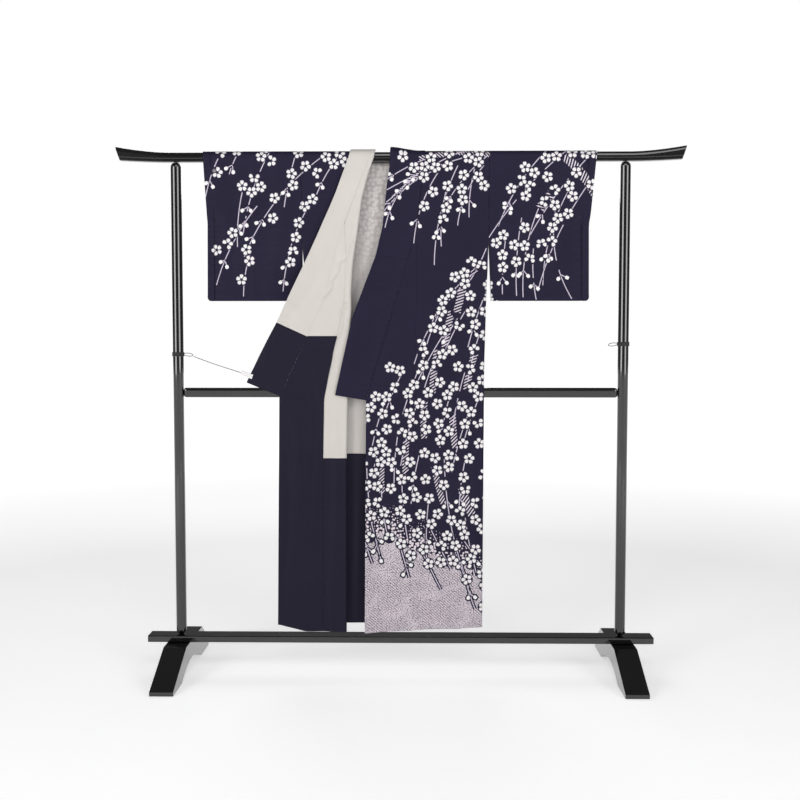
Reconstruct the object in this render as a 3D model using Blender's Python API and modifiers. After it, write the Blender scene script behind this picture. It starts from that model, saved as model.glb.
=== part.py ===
"""A woman's lined silk kimono hung over a black lacquered kimono stand.

Metres, +Z up. The stand rests on z = 0, centred on the origin, with its rails along X. The
kimono hangs over the top rail with its fronts towards -Y. Left and right are the wearer's, so
the right front is on the -X side: it is turned back like a lapel and shows its lining.

Cloth is laid out in a maker's measures. `fall` is the distance down the cloth from the ridge of
the shoulder, and `out` is how far a layer stands off the plain drape over the rail.
"""
import math
from collections import namedtuple

import bmesh
import bpy
from mathutils import Matrix, Vector

# Stand
RAIL_BOTTOM, RAIL_TOP = 1.7020, 1.7345
RAIL_ROUND = 0.0140
RAIL_FOOT = ((0.0095, 0.0), (0.0120, 0.0025), (0.0120, 0.0105), (0.0138, 0.0125))
RAIL_STRAIGHT, RAIL_SWEEP = 0.765, 1.6
TIP_TOP_REACH, TIP_BOTTOM_REACH = 0.940, 0.9245
TIP_TOP_RISE, TIP_BOTTOM_RISE = 0.0190, 0.0060
POST_X, POST_SIDE, POST_ROUND = 0.741, 0.034, 0.015
MIDDLE_BOTTOM, MIDDLE_TOP, MIDDLE_DEPTH, MIDDLE_ROUND = 0.9245, 0.9575, 0.026, 0.010
BASE_BOTTOM, BASE_TOP, BASE_DEPTH, BASE_LENGTH = 0.0990, 0.1220, 0.060, 1.700
BASE_ROUND = 0.003
FOOT_X, FOOT_WIDTH, FOOT_REACH = 0.745, 0.076, 0.280
FOOT_FLAT_FRONT, FOOT_FLAT_BACK = -0.085, 0.170
TOE_HEIGHT, HEEL_HEIGHT = 0.013, 0.026
FOOT_ARCH_REACH, FOOT_ARCH_RISE = 0.154, 0.041
ARCH_STEPS = 8
JOINT_GAP = 0.0003

# Tie that holds the right front open
BAND_HEIGHT, BAND_THICK, BAND_GAP = 0.014, 0.0022, 0.0006
BAND_INNER_ROUND, BAND_OUTER_ROUND = POST_ROUND + 0.0002, POST_ROUND + 0.002
RIGHT_POST_BAND_Z, LEFT_POST_BAND_Z = 1.0690, 1.1030
HOOK_LENGTH, HOOK_WIDTH, HOOK_WIRE = 0.030, 0.010, 0.0020
HOOK_Y, HOOK_DROOP, HOOK_STEPS = -0.010, 0.003, 28
CORD_DIAMETER = 0.0020

# Cloth
CLOTH, LINING, SEAM = 0.0015, 0.0010, 0.0003
RIDGE_RADIUS = 0.0175
TURN_Z = 1.7195
QUARTER = RIDGE_RADIUS * math.pi / 2
SWING_START, SWING_RUN = 0.030, 0.720
FRONT_SWING, BACK_SWING = 0.0165, 0.0345
FRONT, BACK = -1, 1
RIDGE_FALLS = (0.0003, 0.0092, 0.0183, 0.0275)
NECK_DEPTH = 0.040
LEFT_NECK_X, RIGHT_NECK_X = 0.0844, -0.0850
CENTRE_X = -0.015
OKUMI_POINT = 0.247
ARMHOLE = 0.3055
SIDE_OPENING_END = 0.420
SIDE_TURN, SIDE_MEET, SIDE_CLOSING = 0.016, 0.0009, 0.080
SIDE_ANGLES, TURN_ANGLES = (60, 30, 0), (45, 90, 135, 180)
TURNED, RIDGE_TURNED = 0.0130, 0.0045
LAP, COLLAR_STAND = 0.0240, 0.0120
LEFT_FOLD, LEFT_FOLD_PITCH, LEFT_FOLD_SHIFT = 0.0035, 0.155, 0.1
TURNED_SWING, TURNED_FOLD, TURNED_FOLD_PITCH = 0.012, 0.002, 0.110
BACK_FOLD, BACK_FOLD_PITCH = 0.003, 0.190
BACK_HEM_Z = 0.1650
FLAT_COLUMNS, NECK_COLUMNS = 6, 2

# Where each shape of the drape starts and is complete, across the cloth in x or down it in fall
LAP_ACROSS, LAP_DOWN, LAP_EASING = (0.02, -0.15), (0.277, 0.497), (0.83, 1.33)
LAP_EASED = 0.5
STAND_ACROSS, STAND_DOWN = (0.06, -0.03), (0.0, 0.085)
SWING_ACROSS, SWING_DOWN = (-0.22, -0.47), (0.15, 0.65)
TURNED_DOWN = (0.0, 0.12)
LEFT_FOLD_DOWN, TURNED_FOLD_DOWN, BACK_FOLD_DOWN = (0.6, 1.3), (0.7, 1.3), (0.5, 1.3)
BACK_LINING_END = 1.007
LAYER = CLOTH / 2 + LINING / 2 + SEAM + 0.0002
COLLAR_LAYER = CLOTH + SEAM + 0.0002
FOLDED_COLLAR = 0.0024
PAST_HEM = 1.60

# Seams and free edges, each a row of (fall, x)
LEFT_SIDE = ((0, 0.2915), (0.3055, 0.2915), (0.420, 0.2875), (0.497, 0.2845), (0.707, 0.2785),
             (1.024, 0.2775), (1.62, 0.2755))
LEFT_FRONT_SEAM = ((0, 0.0838), (0.0275, 0.0822), (0.097, 0.0742), (0.167, 0.0655),
                   (0.247, 0.0555), (0.497, 0.0540), (0.8285, 0.0485), (1.62, 0.0454))
LEFT_OKUMI_EDGE = ((0.247, 0.0555), (0.375, 0.0230), (0.8285, -0.1109), (1.62, -0.1172))
LEFT_COLLAR_EDGE = ((0, -0.0310), (0.058, -0.0342), (0.132, -0.0440), (0.2586, -0.0572),
                    (0.356, -0.0802), (0.5586, -0.1561), (0.812, -0.2129))
RIGHT_SIDE = ((0, -0.3225), (0.3055, -0.3225), (0.420, -0.3130), (0.497, -0.3100),
              (0.707, -0.3060), (1.024, -0.3040), (1.62, -0.3020))
RIGHT_FOLD = ((0, -0.0810), (0.0275, -0.0855), (0.082, -0.1038), (0.167, -0.1259),
              (0.247, -0.1368), (0.385, -0.1568), (0.472, -0.1617), (0.542, -0.1605),
              (0.825, -0.1736), (1.024, -0.1775), (1.62, -0.1792))
RIGHT_FRONT_SEAM = ((0, -0.0905), (0.0275, -0.0965), (0.082, -0.1185), (0.167, -0.1510),
                    (0.247, -0.1815), (0.385, -0.1765), (0.472, -0.1800), (0.542, -0.1880),
                    (0.673, -0.2188), (0.825, -0.2491), (1.024, -0.2533), (1.62, -0.2558))
RIGHT_OKUMI_EDGE = ((0.247, -0.1825), (0.324, -0.2085), (0.4085, -0.2275), (0.4933, -0.2470),
                    (0.6012, -0.2955), (0.6537, -0.3195), (0.815, -0.3962), (1.62, -0.4060))
RIGHT_COLLAR_EDGE = ((0, -0.1600), (0.0275, -0.1665), (0.072, -0.1820), (0.147, -0.2092),
                     (0.220, -0.2410), (0.2948, -0.2741), (0.377, -0.3125), (0.462, -0.3535),
                     (0.5685, -0.4015), (0.627, -0.4325), (0.7705, -0.5042))
LEFT_HEM = ((-0.1174, 0.1364), (0.0443, 0.1459), (0.2755, 0.1555))
TURNED_HEM = ((-0.4060, 0.1700), (-0.3157, 0.1458), (-0.1787, 0.1424))

# Rows across each panel, as (fall at its first edge, fall at its second edge)
LEFT_FRONT_ROWS = (0.097, 0.167, 0.247, 0.3055, 0.420, 0.497, 0.600, 0.707, 0.8285, 1.024, 1.30)
LEFT_OKUMI_ROWS = (0.253, 0.3055, 0.375, 0.497, 0.600, 0.707, 0.8285, 1.024, 1.30)
LEFT_COLLAR_ROWS = ((0.0275, 0.0275), (0.097, 0.097), (0.167, 0.167), (0.247, 0.247),
                    (0.356, 0.375), (0.470, 0.500), (0.585, 0.610), (0.700, 0.720),
                    (0.812, 0.8285))
LEFT_OVER_COLLAR_ROWS = 8
LEFT_COLLAR_END = 0.8
RIGHT_FRONT_ROWS = (0.082, 0.167, 0.247, 0.3055, 0.385, 0.472, 0.542, 0.673, 0.825, 1.024, 1.30)
RIGHT_FRONT_LINING_END = 1.024
RIGHT_OKUMI_ROWS = ((0.253, 0.253), (0.324, 0.3055), (0.4085, 0.385), (0.4933, 0.472),
                    (0.6012, 0.542), (0.6537, 0.673), (0.815, 0.825), (1.024, 1.024),
                    (1.30, 1.30))
RIGHT_OKUMI_LINING_ROWS = 6
RIGHT_COLLAR_ROWS = ((0.0275, 0.0275), (0.072, 0.082), (0.147, 0.167), (0.220, 0.247),
                     (0.2948, 0.324), (0.377, 0.4085), (0.462, 0.4933), (0.5685, 0.6012),
                     (0.627, 0.6537), (0.7705, 0.815))
RIGHT_OVER_COLLAR_ROWS = 9
RIGHT_COLLAR_LINING_ROWS = 11
BACK_ROWS = (0.0275, NECK_DEPTH, 0.150, ARMHOLE, 0.420, 0.497, 0.750, BACK_LINING_END, 1.30)

# The collar round the back of the neck, folded double and fallen back: the seam, middle and free
# edge of each section, each as x, fall down the back and distance out
NeckRow = namedtuple("NeckRow", "seam middle edge")
NECK_ROWS = (
    NeckRow((0.0830, 0.0137, 0.0014), (0.0350, 0.0060, 0.0120), (-0.0240, 0.0100, 0.0170)),
    NeckRow((0.0828, 0.0270, 0.0020), (0.0400, 0.0120, 0.0150), (-0.0100, 0.0180, 0.0210)),
    NeckRow((0.0780, 0.0376, 0.0016), (0.0500, 0.0220, 0.0200), (0.0120, 0.0480, 0.0240)),
    NeckRow((0.0350, 0.0376, 0.0016), (0.0320, 0.0250, 0.0130), (0.0240, 0.0850, 0.0125)),
    NeckRow((-0.0150, 0.0376, 0.0016), (-0.0150, 0.0250, 0.0120), (-0.0150, 0.0920, 0.0110)),
    NeckRow((-0.0550, 0.0376, 0.0016), (-0.0580, 0.0250, 0.0130), (-0.0680, 0.0880, 0.0125)),
    NeckRow((-0.0790, 0.0376, 0.0016), (-0.0880, 0.0220, 0.0160), (-0.1180, 0.0700, 0.0150)),
    NeckRow((-0.0820, 0.0270, 0.0060), (-0.1100, 0.0150, 0.0170), (-0.1500, 0.0350, 0.0165)),
    NeckRow((-0.0860, 0.0130, 0.0060), (-0.1140, 0.0110, 0.0105), (-0.1550, 0.0160, 0.0110)),
)

# Sleeves, each as (fall, x) for its body side and its cuff
Sleeve = namedtuple("Sleeve", "inner cuff")
SLEEVES = {
    "right_sleeve": Sleeve(((0, -0.3231), (0.3055, -0.3231), (0.51, -0.3240)),
                           ((0, -0.6500), (0.211, -0.6375), (0.51, -0.6400))),
    "left_sleeve": Sleeve(((0, 0.2921), (0.3055, 0.2921), (0.51, 0.3022)),
                          ((0, 0.6465), (0.255, 0.6230), (0.51, 0.6255))),
}
SLEEVE_DROP = 0.5010
SLEEVE_STATIONS = (0, 0.14, 0.38, 0.62, 0.82, 0.93, 0.98, 1.0)
SLEEVE_FALLS = (0, 0.0092, 0.0183, 0.0275, 0.110, 0.211, ARMHOLE, 0.400, 0.465, 0.494)
CUFF_OPENING, CUFF_CLOSED = 0.230, 0.0020
SLEEVE_THIN = 0.0095
CORNER_RISE = 0.014
CORNER_ALONG, PINCH_ALONG, SEWN_ALONG = (0.94, 1.0), (0.80, 0.98), (0.40, 0.0)
THIN_DOWN, SEWN_DOWN = (0.12, 0.45), (ARMHOLE + 0.12, ARMHOLE)
SHUT_DOWN = (CUFF_OPENING - 0.02, CUFF_OPENING + 0.02)

# Route of the tie cord from the hook on the right-hand post to the back of the clip
CORD_ROUTE = ((-0.6870, -0.0125, 1.0615), (-0.6560, -0.0212, 1.0507), (-0.6220, -0.0311, 1.0393),
              (-0.5880, -0.0411, 1.0288), (-0.5540, -0.0511, 1.0188), (-0.5220, -0.0603, 1.0093))
CLIP_LENGTH, CLIP_WIDTH, CLIP_PLATE = 0.040, 0.015, 0.0016
CLIP_TILT = math.radians(19.5)
CLIP_ENTRY, CLIP_JOINED = 0.010, -0.006
CLIP_FALL = 0.748
CLIP_INSIDE, CLIP_OUTSIDE = CLOTH / 2 + 0.0008, CLOTH / 2 + LINING + 0.0014
ROUTE_STEPS = 6


def clear_scene():
    for item in list(bpy.data.objects):
        bpy.data.objects.remove(item, do_unlink=True)


def collection(name):
    made = bpy.data.collections.new(name)
    bpy.context.scene.collection.children.link(made)
    return made


def material(name, colour, roughness, metallic=0.0):
    made = bpy.data.materials.new(name)
    made.use_nodes = True
    shader = made.node_tree.nodes["Principled BSDF"]
    shader.inputs["Base Color"].default_value = (*colour, 1.0)
    shader.inputs["Roughness"].default_value = roughness
    shader.inputs["Metallic"].default_value = metallic
    return made


def add_object(name, data, finish):
    made = bpy.data.objects.new(name, data)
    made.data.materials.append(finish)
    PARTS.objects.link(made)
    return made


def smooth(value):
    value = min(max(value, 0.0), 1.0)
    return value * value * (3 - 2 * value)


def ramp(value, span):
    """0 at the span's first value and 1 from its second on, whichever way it runs."""
    return smooth((value - span[0]) / (span[1] - span[0]))


def read(table, at):
    """Straight-line reading of a table of (at, value) rows."""
    for (at_0, value_0), (at_1, value_1) in zip(table, table[1:]):
        if at <= at_1:
            break
    return value_0 + (value_1 - value_0) * (at - at_0) / (at_1 - at_0)


# ---- cloth ------------------------------------------------------------------------------------

def drape_y(fall, side):
    """The body hangs in front of the middle rail, so the back swings forward under the top one."""
    swing = smooth((fall - SWING_START) / SWING_RUN)
    if side == FRONT:
        return -RIDGE_RADIUS - FRONT_SWING * swing
    return RIDGE_RADIUS - BACK_SWING * swing


def on_drape(x, fall, out=0.0, side=FRONT):
    if fall < QUARTER:
        turn = fall / RIDGE_RADIUS
        reach = RIDGE_RADIUS + out
        return Vector((x, side * reach * math.sin(turn), TURN_Z + reach * math.cos(turn)))
    return Vector((x, drape_y(fall, side) + side * out, TURN_Z - (fall - QUARTER)))


def fall_at(height):
    return QUARTER + TURN_Z - height


def grid_object(name, grid, thickness, finish, closed=False, keep=lambda row, column: True):
    """Cloth through rows of points: a thin wall with the rows' surface in its middle."""
    mesh = bmesh.new()
    corners = {}

    def corner(row, column):
        column %= len(grid[row])
        if (row, column) not in corners:
            corners[row, column] = mesh.verts.new(grid[row][column])
        return corners[row, column]

    for row in range(len(grid) - 1):
        for column in range(len(grid[row]) - (0 if closed else 1)):
            if keep(row, column):
                mesh.faces.new((corner(row, column), corner(row, column + 1),
                                corner(row + 1, column + 1), corner(row + 1, column)))
    data = bpy.data.meshes.new(name)
    mesh.to_mesh(data)
    mesh.free()
    made = add_object(name, data, finish)
    facets = made.modifiers.new("facets", "TRIANGULATE")
    facets.quad_method = "FIXED"
    wall = made.modifiers.new("wall", "SOLIDIFY")
    wall.thickness = thickness
    wall.offset = 0.0
    return made


def moved(grid, distance):
    """The same points moved along the normal, which is +Y where columns run towards +X."""
    rows, columns = len(grid), len(grid[0])
    layer = []
    for row in range(rows):
        line = []
        for column in range(columns):
            down = grid[min(row + 1, rows - 1)][column] - grid[max(row - 1, 0)][column]
            across = (grid[row][min(column + 1, columns - 1)]
                      - grid[row][max(column - 1, 0)])
            line.append(grid[row][column] + distance * across.cross(down).normalized())
        layer.append(line)
    return layer


def side_columns(side_x, inner_x, shares):
    """x of each column from the inner edge to the side seam, where it turns towards the middle."""
    toward = 1 if side_x > inner_x else -1
    flat_end = side_x - toward * SIDE_TURN
    columns = [(inner_x + (flat_end - inner_x) * share, 1.0) for share in shares]
    for angle in SIDE_ANGLES:
        turn = math.radians(angle)
        columns.append((side_x - toward * SIDE_TURN * (1 - math.cos(turn)), math.sin(turn)))
    return columns


def side_point(x, fall, out, part, side):
    """A point near a side seam: `part` is 1 on the flat and 0 at the seam, below the opening."""
    point = on_drape(x, fall, out, side)
    if part < 1:
        closing = smooth((fall - SIDE_OPENING_END) / SIDE_CLOSING + 0.5)
        middle = (drape_y(fall, FRONT) + drape_y(fall, BACK)) / 2
        reach = abs(point.y - middle) * (1 - closing * (1 - part))
        point.y = middle + side * max(reach, SIDE_MEET)
    return point


def left_out(x, fall):
    """The left front laps over the turned right one, and its collar stands up at the neck."""
    lap = LAP * ramp(x, LAP_ACROSS) * ramp(fall, LAP_DOWN)
    ease = 1 - LAP_EASED * ramp(fall, LAP_EASING)
    stand = COLLAR_STAND * ramp(x, STAND_ACROSS) * (1 - ramp(fall, STAND_DOWN))
    wave = math.sin(2 * math.pi * (x / LEFT_FOLD_PITCH + LEFT_FOLD_SHIFT))
    return lap * ease + stand + LEFT_FOLD * wave * ramp(fall, LEFT_FOLD_DOWN)


def turned_out(x, fall):
    """The turned part lies close over the rail, then stands off, and the tie swings it out."""
    stand = RIDGE_TURNED + (TURNED - RIDGE_TURNED) * ramp(fall, TURNED_DOWN)
    swing = TURNED_SWING * ramp(x, SWING_ACROSS) * ramp(fall, SWING_DOWN)
    wave = math.sin(2 * math.pi * x / TURNED_FOLD_PITCH)
    return stand + swing + TURNED_FOLD * wave * ramp(fall, TURNED_FOLD_DOWN)


def back_out(x, fall):
    """The back falls in long shallow folds from the waist down."""
    wave = 1 + math.sin(2 * math.pi * x / BACK_FOLD_PITCH)
    return BACK_FOLD * wave * ramp(fall, BACK_FOLD_DOWN)


def between(first, second, shares, fall_first, fall_second, out):
    """A row of front points between two edges' x values."""
    return [on_drape(first + (second - first) * share,
                     fall_first + (fall_second - fall_first) * share,
                     out(first + (second - first) * share,
                         fall_first + (fall_second - fall_first) * share))
            for share in shares]


def left_front():
    grid = []
    shares = (0, 0.25, 0.5, 0.75, 1.0)
    for fall in (*RIDGE_FALLS, *LEFT_FRONT_ROWS, None):
        seam = read(LEFT_FRONT_SEAM, fall or PAST_HEM) + SEAM
        side = read(LEFT_SIDE, fall or PAST_HEM)
        row = []
        for x, part in side_columns(side, seam, shares):
            at = fall or fall_at(read(LEFT_HEM, x))
            row.append(side_point(x, at, left_out(x, at), part, FRONT))
        grid.append(row)
    grid_object("left_front", grid, CLOTH, NAVY)


def left_okumi():
    grid = []
    shares = (0, 0.33, 0.67, 1.0)
    for fall in (*LEFT_OKUMI_ROWS, None):
        sewn = SEAM if (fall or PAST_HEM) < LEFT_COLLAR_END else 0
        edge = read(LEFT_OKUMI_EDGE, fall or PAST_HEM) + sewn
        seam = read(LEFT_FRONT_SEAM, fall or PAST_HEM) - SEAM
        falls = [fall or fall_at(read(LEFT_HEM, x)) for x in (edge, seam)]
        grid.append(between(edge, seam, shares, *falls, left_out))
    grid_object("left_okumi", grid, CLOTH, NAVY)


def collar_seam(table, front_seam, fall):
    """The collar's seam runs down the front's neck edge, then down the overlap's edge."""
    return read(table, fall) if fall >= OKUMI_POINT else read(front_seam, fall)


def left_collar():
    rows = [(fall, fall) for fall in RIDGE_FALLS[:-1]] + list(LEFT_COLLAR_ROWS)
    grid = []
    for edge_fall, seam_fall in rows:
        edge = read(LEFT_COLLAR_EDGE, edge_fall)
        seam = collar_seam(LEFT_OKUMI_EDGE, LEFT_FRONT_SEAM, seam_fall) - 2 * SEAM
        grid.append(between(edge, seam, (0, 0.33, 0.67, 1.0), edge_fall, seam_fall, left_out))
    grid_object("left_collar", grid, CLOTH, NAVY)
    over = moved(grid[:LEFT_OVER_COLLAR_ROWS], -COLLAR_LAYER)
    grid_object("left_over_collar", over, CLOTH, NAVY)


def right_front():
    grid = []
    outer_shares = (0, 0.35, 0.7, 1.0)
    for fall in (*RIDGE_FALLS, *RIGHT_FRONT_ROWS, None):
        at = fall or PAST_HEM
        fold, seam = read(RIGHT_FOLD, at), read(RIGHT_FRONT_SEAM, at) + SEAM
        side = read(RIGHT_SIDE, at)
        radius = turned_out(fold - TURNED / 2, at) / 2
        hem = fall_at(read(TURNED_HEM, fold))
        row = [side_point(x, fall or hem, 0.0, part, FRONT)
               for x, part in reversed(side_columns(side, fold - radius, outer_shares))]
        for angle in TURN_ANGLES:
            turn = math.radians(angle)
            row.append(on_drape(fold - radius + radius * math.sin(turn), fall or hem,
                                radius * (1 - math.cos(turn))))
        for share in (0.5, 1.0):
            x = fold - radius + (seam - fold + radius) * share
            at = fall or fall_at(read(TURNED_HEM, x))
            row.append(on_drape(x, at, turned_out(x, at)))
        grid.append(row)
    grid_object("right_front", grid, CLOTH, NAVY)
    fold_column = len(grid[0]) - 5
    lining = moved([row[fold_column:] for row in grid], LAYER)
    split = len(RIDGE_FALLS) + RIGHT_FRONT_ROWS.index(RIGHT_FRONT_LINING_END)
    lining_pair("right_front", lining, split)


def lining_pair(panel, lining, split):
    """The pale lining down to a row, and the dark lining of the hem from there on."""
    grid_object(panel + "_lining", lining[:split + 1], LINING, IVORY)
    start = [point + 3 * SEAM * (below - point).normalized()
             for point, below in zip(lining[split], lining[split + 1])]
    grid_object(panel + "_hem_lining", [start] + lining[split + 1:], LINING, NAVY_LINING)


def right_okumi():
    grid = []
    shares = (0, 0.33, 0.67, 1.0)
    for falls in (*RIGHT_OKUMI_ROWS, (None, None)):
        edge = read(RIGHT_OKUMI_EDGE, falls[0] or PAST_HEM) + SEAM
        seam = read(RIGHT_FRONT_SEAM, falls[1] or PAST_HEM) - SEAM
        falls = [fall or fall_at(read(TURNED_HEM, x)) for fall, x in zip(falls, (edge, seam))]
        row = between(edge, seam, shares, *falls, turned_out)
        if falls[0] > RIGHT_OKUMI_ROWS[-1][0]:
            row = [on_drape(point.x, fall_at(read(TURNED_HEM, point.x)),
                            turned_out(point.x, falls[0])) for point in row]
        grid.append(row)
    grid_object("right_okumi", grid, CLOTH, NAVY)
    lining_pair("right_okumi", moved(grid, -LAYER), RIGHT_OKUMI_LINING_ROWS - 1)


def right_collar():
    rows = [(fall, fall) for fall in RIDGE_FALLS[:-1]] + list(RIGHT_COLLAR_ROWS)
    grid = []
    for edge_fall, seam_fall in rows:
        edge = read(RIGHT_COLLAR_EDGE, edge_fall)
        seam = collar_seam(RIGHT_OKUMI_EDGE, RIGHT_FRONT_SEAM, seam_fall) - SEAM
        grid.append(between(edge, seam, (0, 0.33, 0.67, 1.0), edge_fall, seam_fall, turned_out))
    grid_object("right_collar", grid, CLOTH, NAVY)
    over = moved(grid[:RIGHT_OVER_COLLAR_ROWS], COLLAR_LAYER)
    grid_object("right_over_collar", over, CLOTH, NAVY)
    lining_pair("right_collar", moved(grid, -LAYER), RIGHT_COLLAR_LINING_ROWS - 1)


def neck_collar():
    """The collar behind the neck, from the left shoulder round to the right one."""
    shares = (0, 0.12, 0.25, 0.4, 0.65, 1.0)

    def shoulder(seam_x, edge_x, out):
        places = [seam_x + (edge_x - seam_x) * share for share in shares]
        return [on_drape(x, 2 * SEAM, out(x, 0), BACK) for x in places]

    grid = [shoulder(LEFT_FRONT_SEAM[0][1] - 2 * SEAM, LEFT_COLLAR_EDGE[0][1], left_out)]
    for section in NECK_ROWS:
        seam, middle, edge = (on_drape(*place, side=BACK) for place in section)
        grid.append([seam * (1 - t) ** 2 + middle * 2 * t * (1 - t) + edge * t ** 2
                     for t in shares])
    grid.append(shoulder(RIGHT_FRONT_SEAM[0][1] - SEAM, RIGHT_COLLAR_EDGE[0][1], turned_out))
    grid_object("neck_collar", grid, FOLDED_COLLAR, NAVY)


def back_panel(name, side_table, neck_x, lined):
    toward = 1 if neck_x > CENTRE_X else -1
    centre = CENTRE_X + toward * SEAM
    grid = []
    for fall in (*RIDGE_FALLS[:-1], *BACK_ROWS, None):
        at = fall or fall_at(BACK_HEM_Z)
        side = read(side_table, at)
        neck = (neck_x - centre) / (side - toward * SIDE_TURN - centre)
        shares = (0, neck / 2, neck, neck + (1 - neck) * 0.35, neck + (1 - neck) * 0.7, 1.0)
        grid.append([side_point(x, at, back_out(x, at), part, BACK)
                     for x, part in side_columns(side, centre, shares)])
    neck_rows = len(RIDGE_FALLS)
    grid_object(name, grid, CLOTH, NAVY,
                keep=lambda row, column: row >= neck_rows or column >= NECK_COLUMNS)
    if lined:
        inner = [row[:FLAT_COLUMNS] for row in grid[neck_rows:]]
        split = BACK_ROWS.index(BACK_LINING_END) - 1
        lining_pair(name, moved(inner, -toward * LAYER), split)


def sleeve(name, shape):
    """A tube round the rail: open at the body side, sewn shut below the cuff's opening."""
    def ring(station, falls):
        corner = ramp(station, CORNER_ALONG)
        bottom = SLEEVE_DROP - CORNER_RISE * corner
        pinch = ramp(station, PINCH_ALONG)

        def point(fall, side):
            fall = fall * bottom / SLEEVE_DROP if fall > ARMHOLE else fall
            x = read(shape.inner, fall) * (1 - station) + read(shape.cuff, fall) * station
            place = on_drape(x, fall, 0.0, side)
            if fall > QUARTER:
                thin = ramp(fall, THIN_DOWN)
                reach = RIDGE_RADIUS * (1 - thin) + SLEEVE_THIN * thin
                shut = pinch * ramp(fall, SHUT_DOWN)
                own = side * (reach * (1 - shut) + CUFF_CLOSED * shut)
                sewn = ramp(station, SEWN_ALONG) * ramp(fall, SEWN_DOWN)
                place.y = own + (place.y - own) * sewn
            return place

        base = on_drape(0, bottom)
        x = read(shape.inner, bottom) * (1 - station) + read(shape.cuff, bottom) * station
        front = [point(fall, FRONT) for fall in falls]
        back = [point(fall, BACK) for fall in falls[:0:-1]]
        return front + [Vector((x, 0.0, base.z))] + back

    rings = [ring(station, SLEEVE_FALLS) for station in SLEEVE_STATIONS]
    grid_object(name, rings, CLOTH, NAVY, closed=True)
    armhole = SLEEVE_FALLS.index(ARMHOLE)
    below_armhole = range(armhole, 2 * len(SLEEVE_FALLS) + 1 - armhole)
    inside = [[inward(rings[station], column) for column in below_armhole]
              for station in (0, 1)]
    grid_object(name + "_lining", inside, LINING, IVORY)


def inward(ring, column):
    """A ring's point moved into the sleeve, to lie inside its wall."""
    along = ring[(column + 1) % len(ring)] - ring[column - 1]
    normal = Vector((0, -along.z, along.y)).normalized()
    return ring[column] + normal * (LAYER + SEAM)


# ---- stand ------------------------------------------------------------------------------------

def bevelled_box(name, centre, size, width, segments):
    bpy.ops.mesh.primitive_cube_add(size=1.0)
    made = bpy.context.active_object
    made.name = made.data.name = name
    for holder in list(made.users_collection):
        holder.objects.unlink(made)
    PARTS.objects.link(made)
    made.data.transform(Matrix.Diagonal((*size, 1.0)))
    made.data.materials.append(LACQUER)
    made.location = centre
    edge = made.modifiers.new("edges", "BEVEL")
    edge.width = width
    edge.segments = segments
    made.data.shade_smooth()
    made.data.set_sharp_from_angle(angle=math.radians(40))


def rail_outline(bottom, top):
    """Half-round top over a slightly narrower square foot, as (y, z) going round."""
    middle = top - RAIL_ROUND
    half = [(y, bottom + rise) for y, rise in RAIL_FOOT]
    arc = [(RAIL_ROUND * math.cos(math.radians(a)), middle + RAIL_ROUND * math.sin(math.radians(a)))
           for a in (0, 22.5, 45, 67.5, 90)]
    right = half + arc
    return right + [(-y, z) for y, z in reversed(right[:-1])]


def top_rail():
    """The top rail, with ends swept up and cut on the slant."""
    shares = (1.0, 0.82, 0.62, 0.40, 0.18)
    reach = [RAIL_STRAIGHT + (TIP_TOP_REACH - RAIL_STRAIGHT) * share for share in shares]
    stations = [-x for x in reach] + [-RAIL_STRAIGHT, RAIL_STRAIGHT] + list(reversed(reach))
    mesh = bmesh.new()
    rings = []
    for x in stations:
        sweep = max(0.0, (abs(x) - RAIL_STRAIGHT) / (TIP_TOP_REACH - RAIL_STRAIGHT))
        bottom = RAIL_BOTTOM + TIP_BOTTOM_RISE * sweep ** RAIL_SWEEP
        top = RAIL_TOP + TIP_TOP_RISE * sweep ** RAIL_SWEEP
        slant = (TIP_TOP_REACH - TIP_BOTTOM_REACH) * sweep * math.copysign(1, x)
        rings.append([mesh.verts.new((x - slant * (top - z) / (top - bottom), y, z))
                      for y, z in rail_outline(bottom, top)])
    for ring, following in zip(rings, rings[1:]):
        for index in range(len(ring)):
            after = (index + 1) % len(ring)
            mesh.faces.new((ring[index], ring[after], following[after], following[index]))
    mesh.faces.new(list(reversed(rings[0])))
    mesh.faces.new(rings[-1])
    bmesh.ops.recalc_face_normals(mesh, faces=mesh.faces)
    data = bpy.data.meshes.new("top_rail")
    mesh.to_mesh(data)
    mesh.free()
    add_object("top_rail", data, LACQUER)
    data.shade_smooth()
    data.set_sharp_from_angle(angle=math.radians(30))


def flat_outline(name, outlines, half_depth, finish):
    """A flat outline with its holes, given depth: local x and y become world Y and Z."""
    data = bpy.data.curves.new(name, "CURVE")
    data.dimensions = "2D"
    data.fill_mode = "BOTH"
    data.extrude = half_depth
    for outline in outlines:
        spline = data.splines.new("POLY")
        spline.points.add(len(outline) - 1)
        for point, (across, up) in zip(spline.points, outline):
            point.co = (across, up, 0.0, 1.0)
        spline.use_cyclic_u = True
    made = add_object(name, data, finish)
    made.rotation_euler = (math.pi / 2, 0.0, math.pi / 2)
    return made


def foot(name, x):
    """A long foot: a sloping toe in front, a flat back, and an arch cut between its two pads."""
    arch_radius = (FOOT_ARCH_REACH ** 2 + FOOT_ARCH_RISE ** 2) / (2 * FOOT_ARCH_RISE)
    half_angle = math.asin(FOOT_ARCH_REACH / arch_radius)
    arch = []
    for step in range(ARCH_STEPS + 1):
        angle = half_angle * (1 - 2 * step / ARCH_STEPS)
        arch.append((arch_radius * math.sin(angle),
                     FOOT_ARCH_RISE - arch_radius * (1 - math.cos(angle))))
    top = BASE_BOTTOM - JOINT_GAP
    outline = [(-FOOT_REACH, 0.0), (-FOOT_REACH, TOE_HEIGHT), (FOOT_FLAT_FRONT, top),
               (FOOT_FLAT_BACK, top), (FOOT_REACH, HEEL_HEIGHT), (FOOT_REACH, 0.0)] + arch
    made = flat_outline(name, [list(reversed(outline))], FOOT_WIDTH / 2, LACQUER)
    made.location = (x, 0.0, 0.0)


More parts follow.
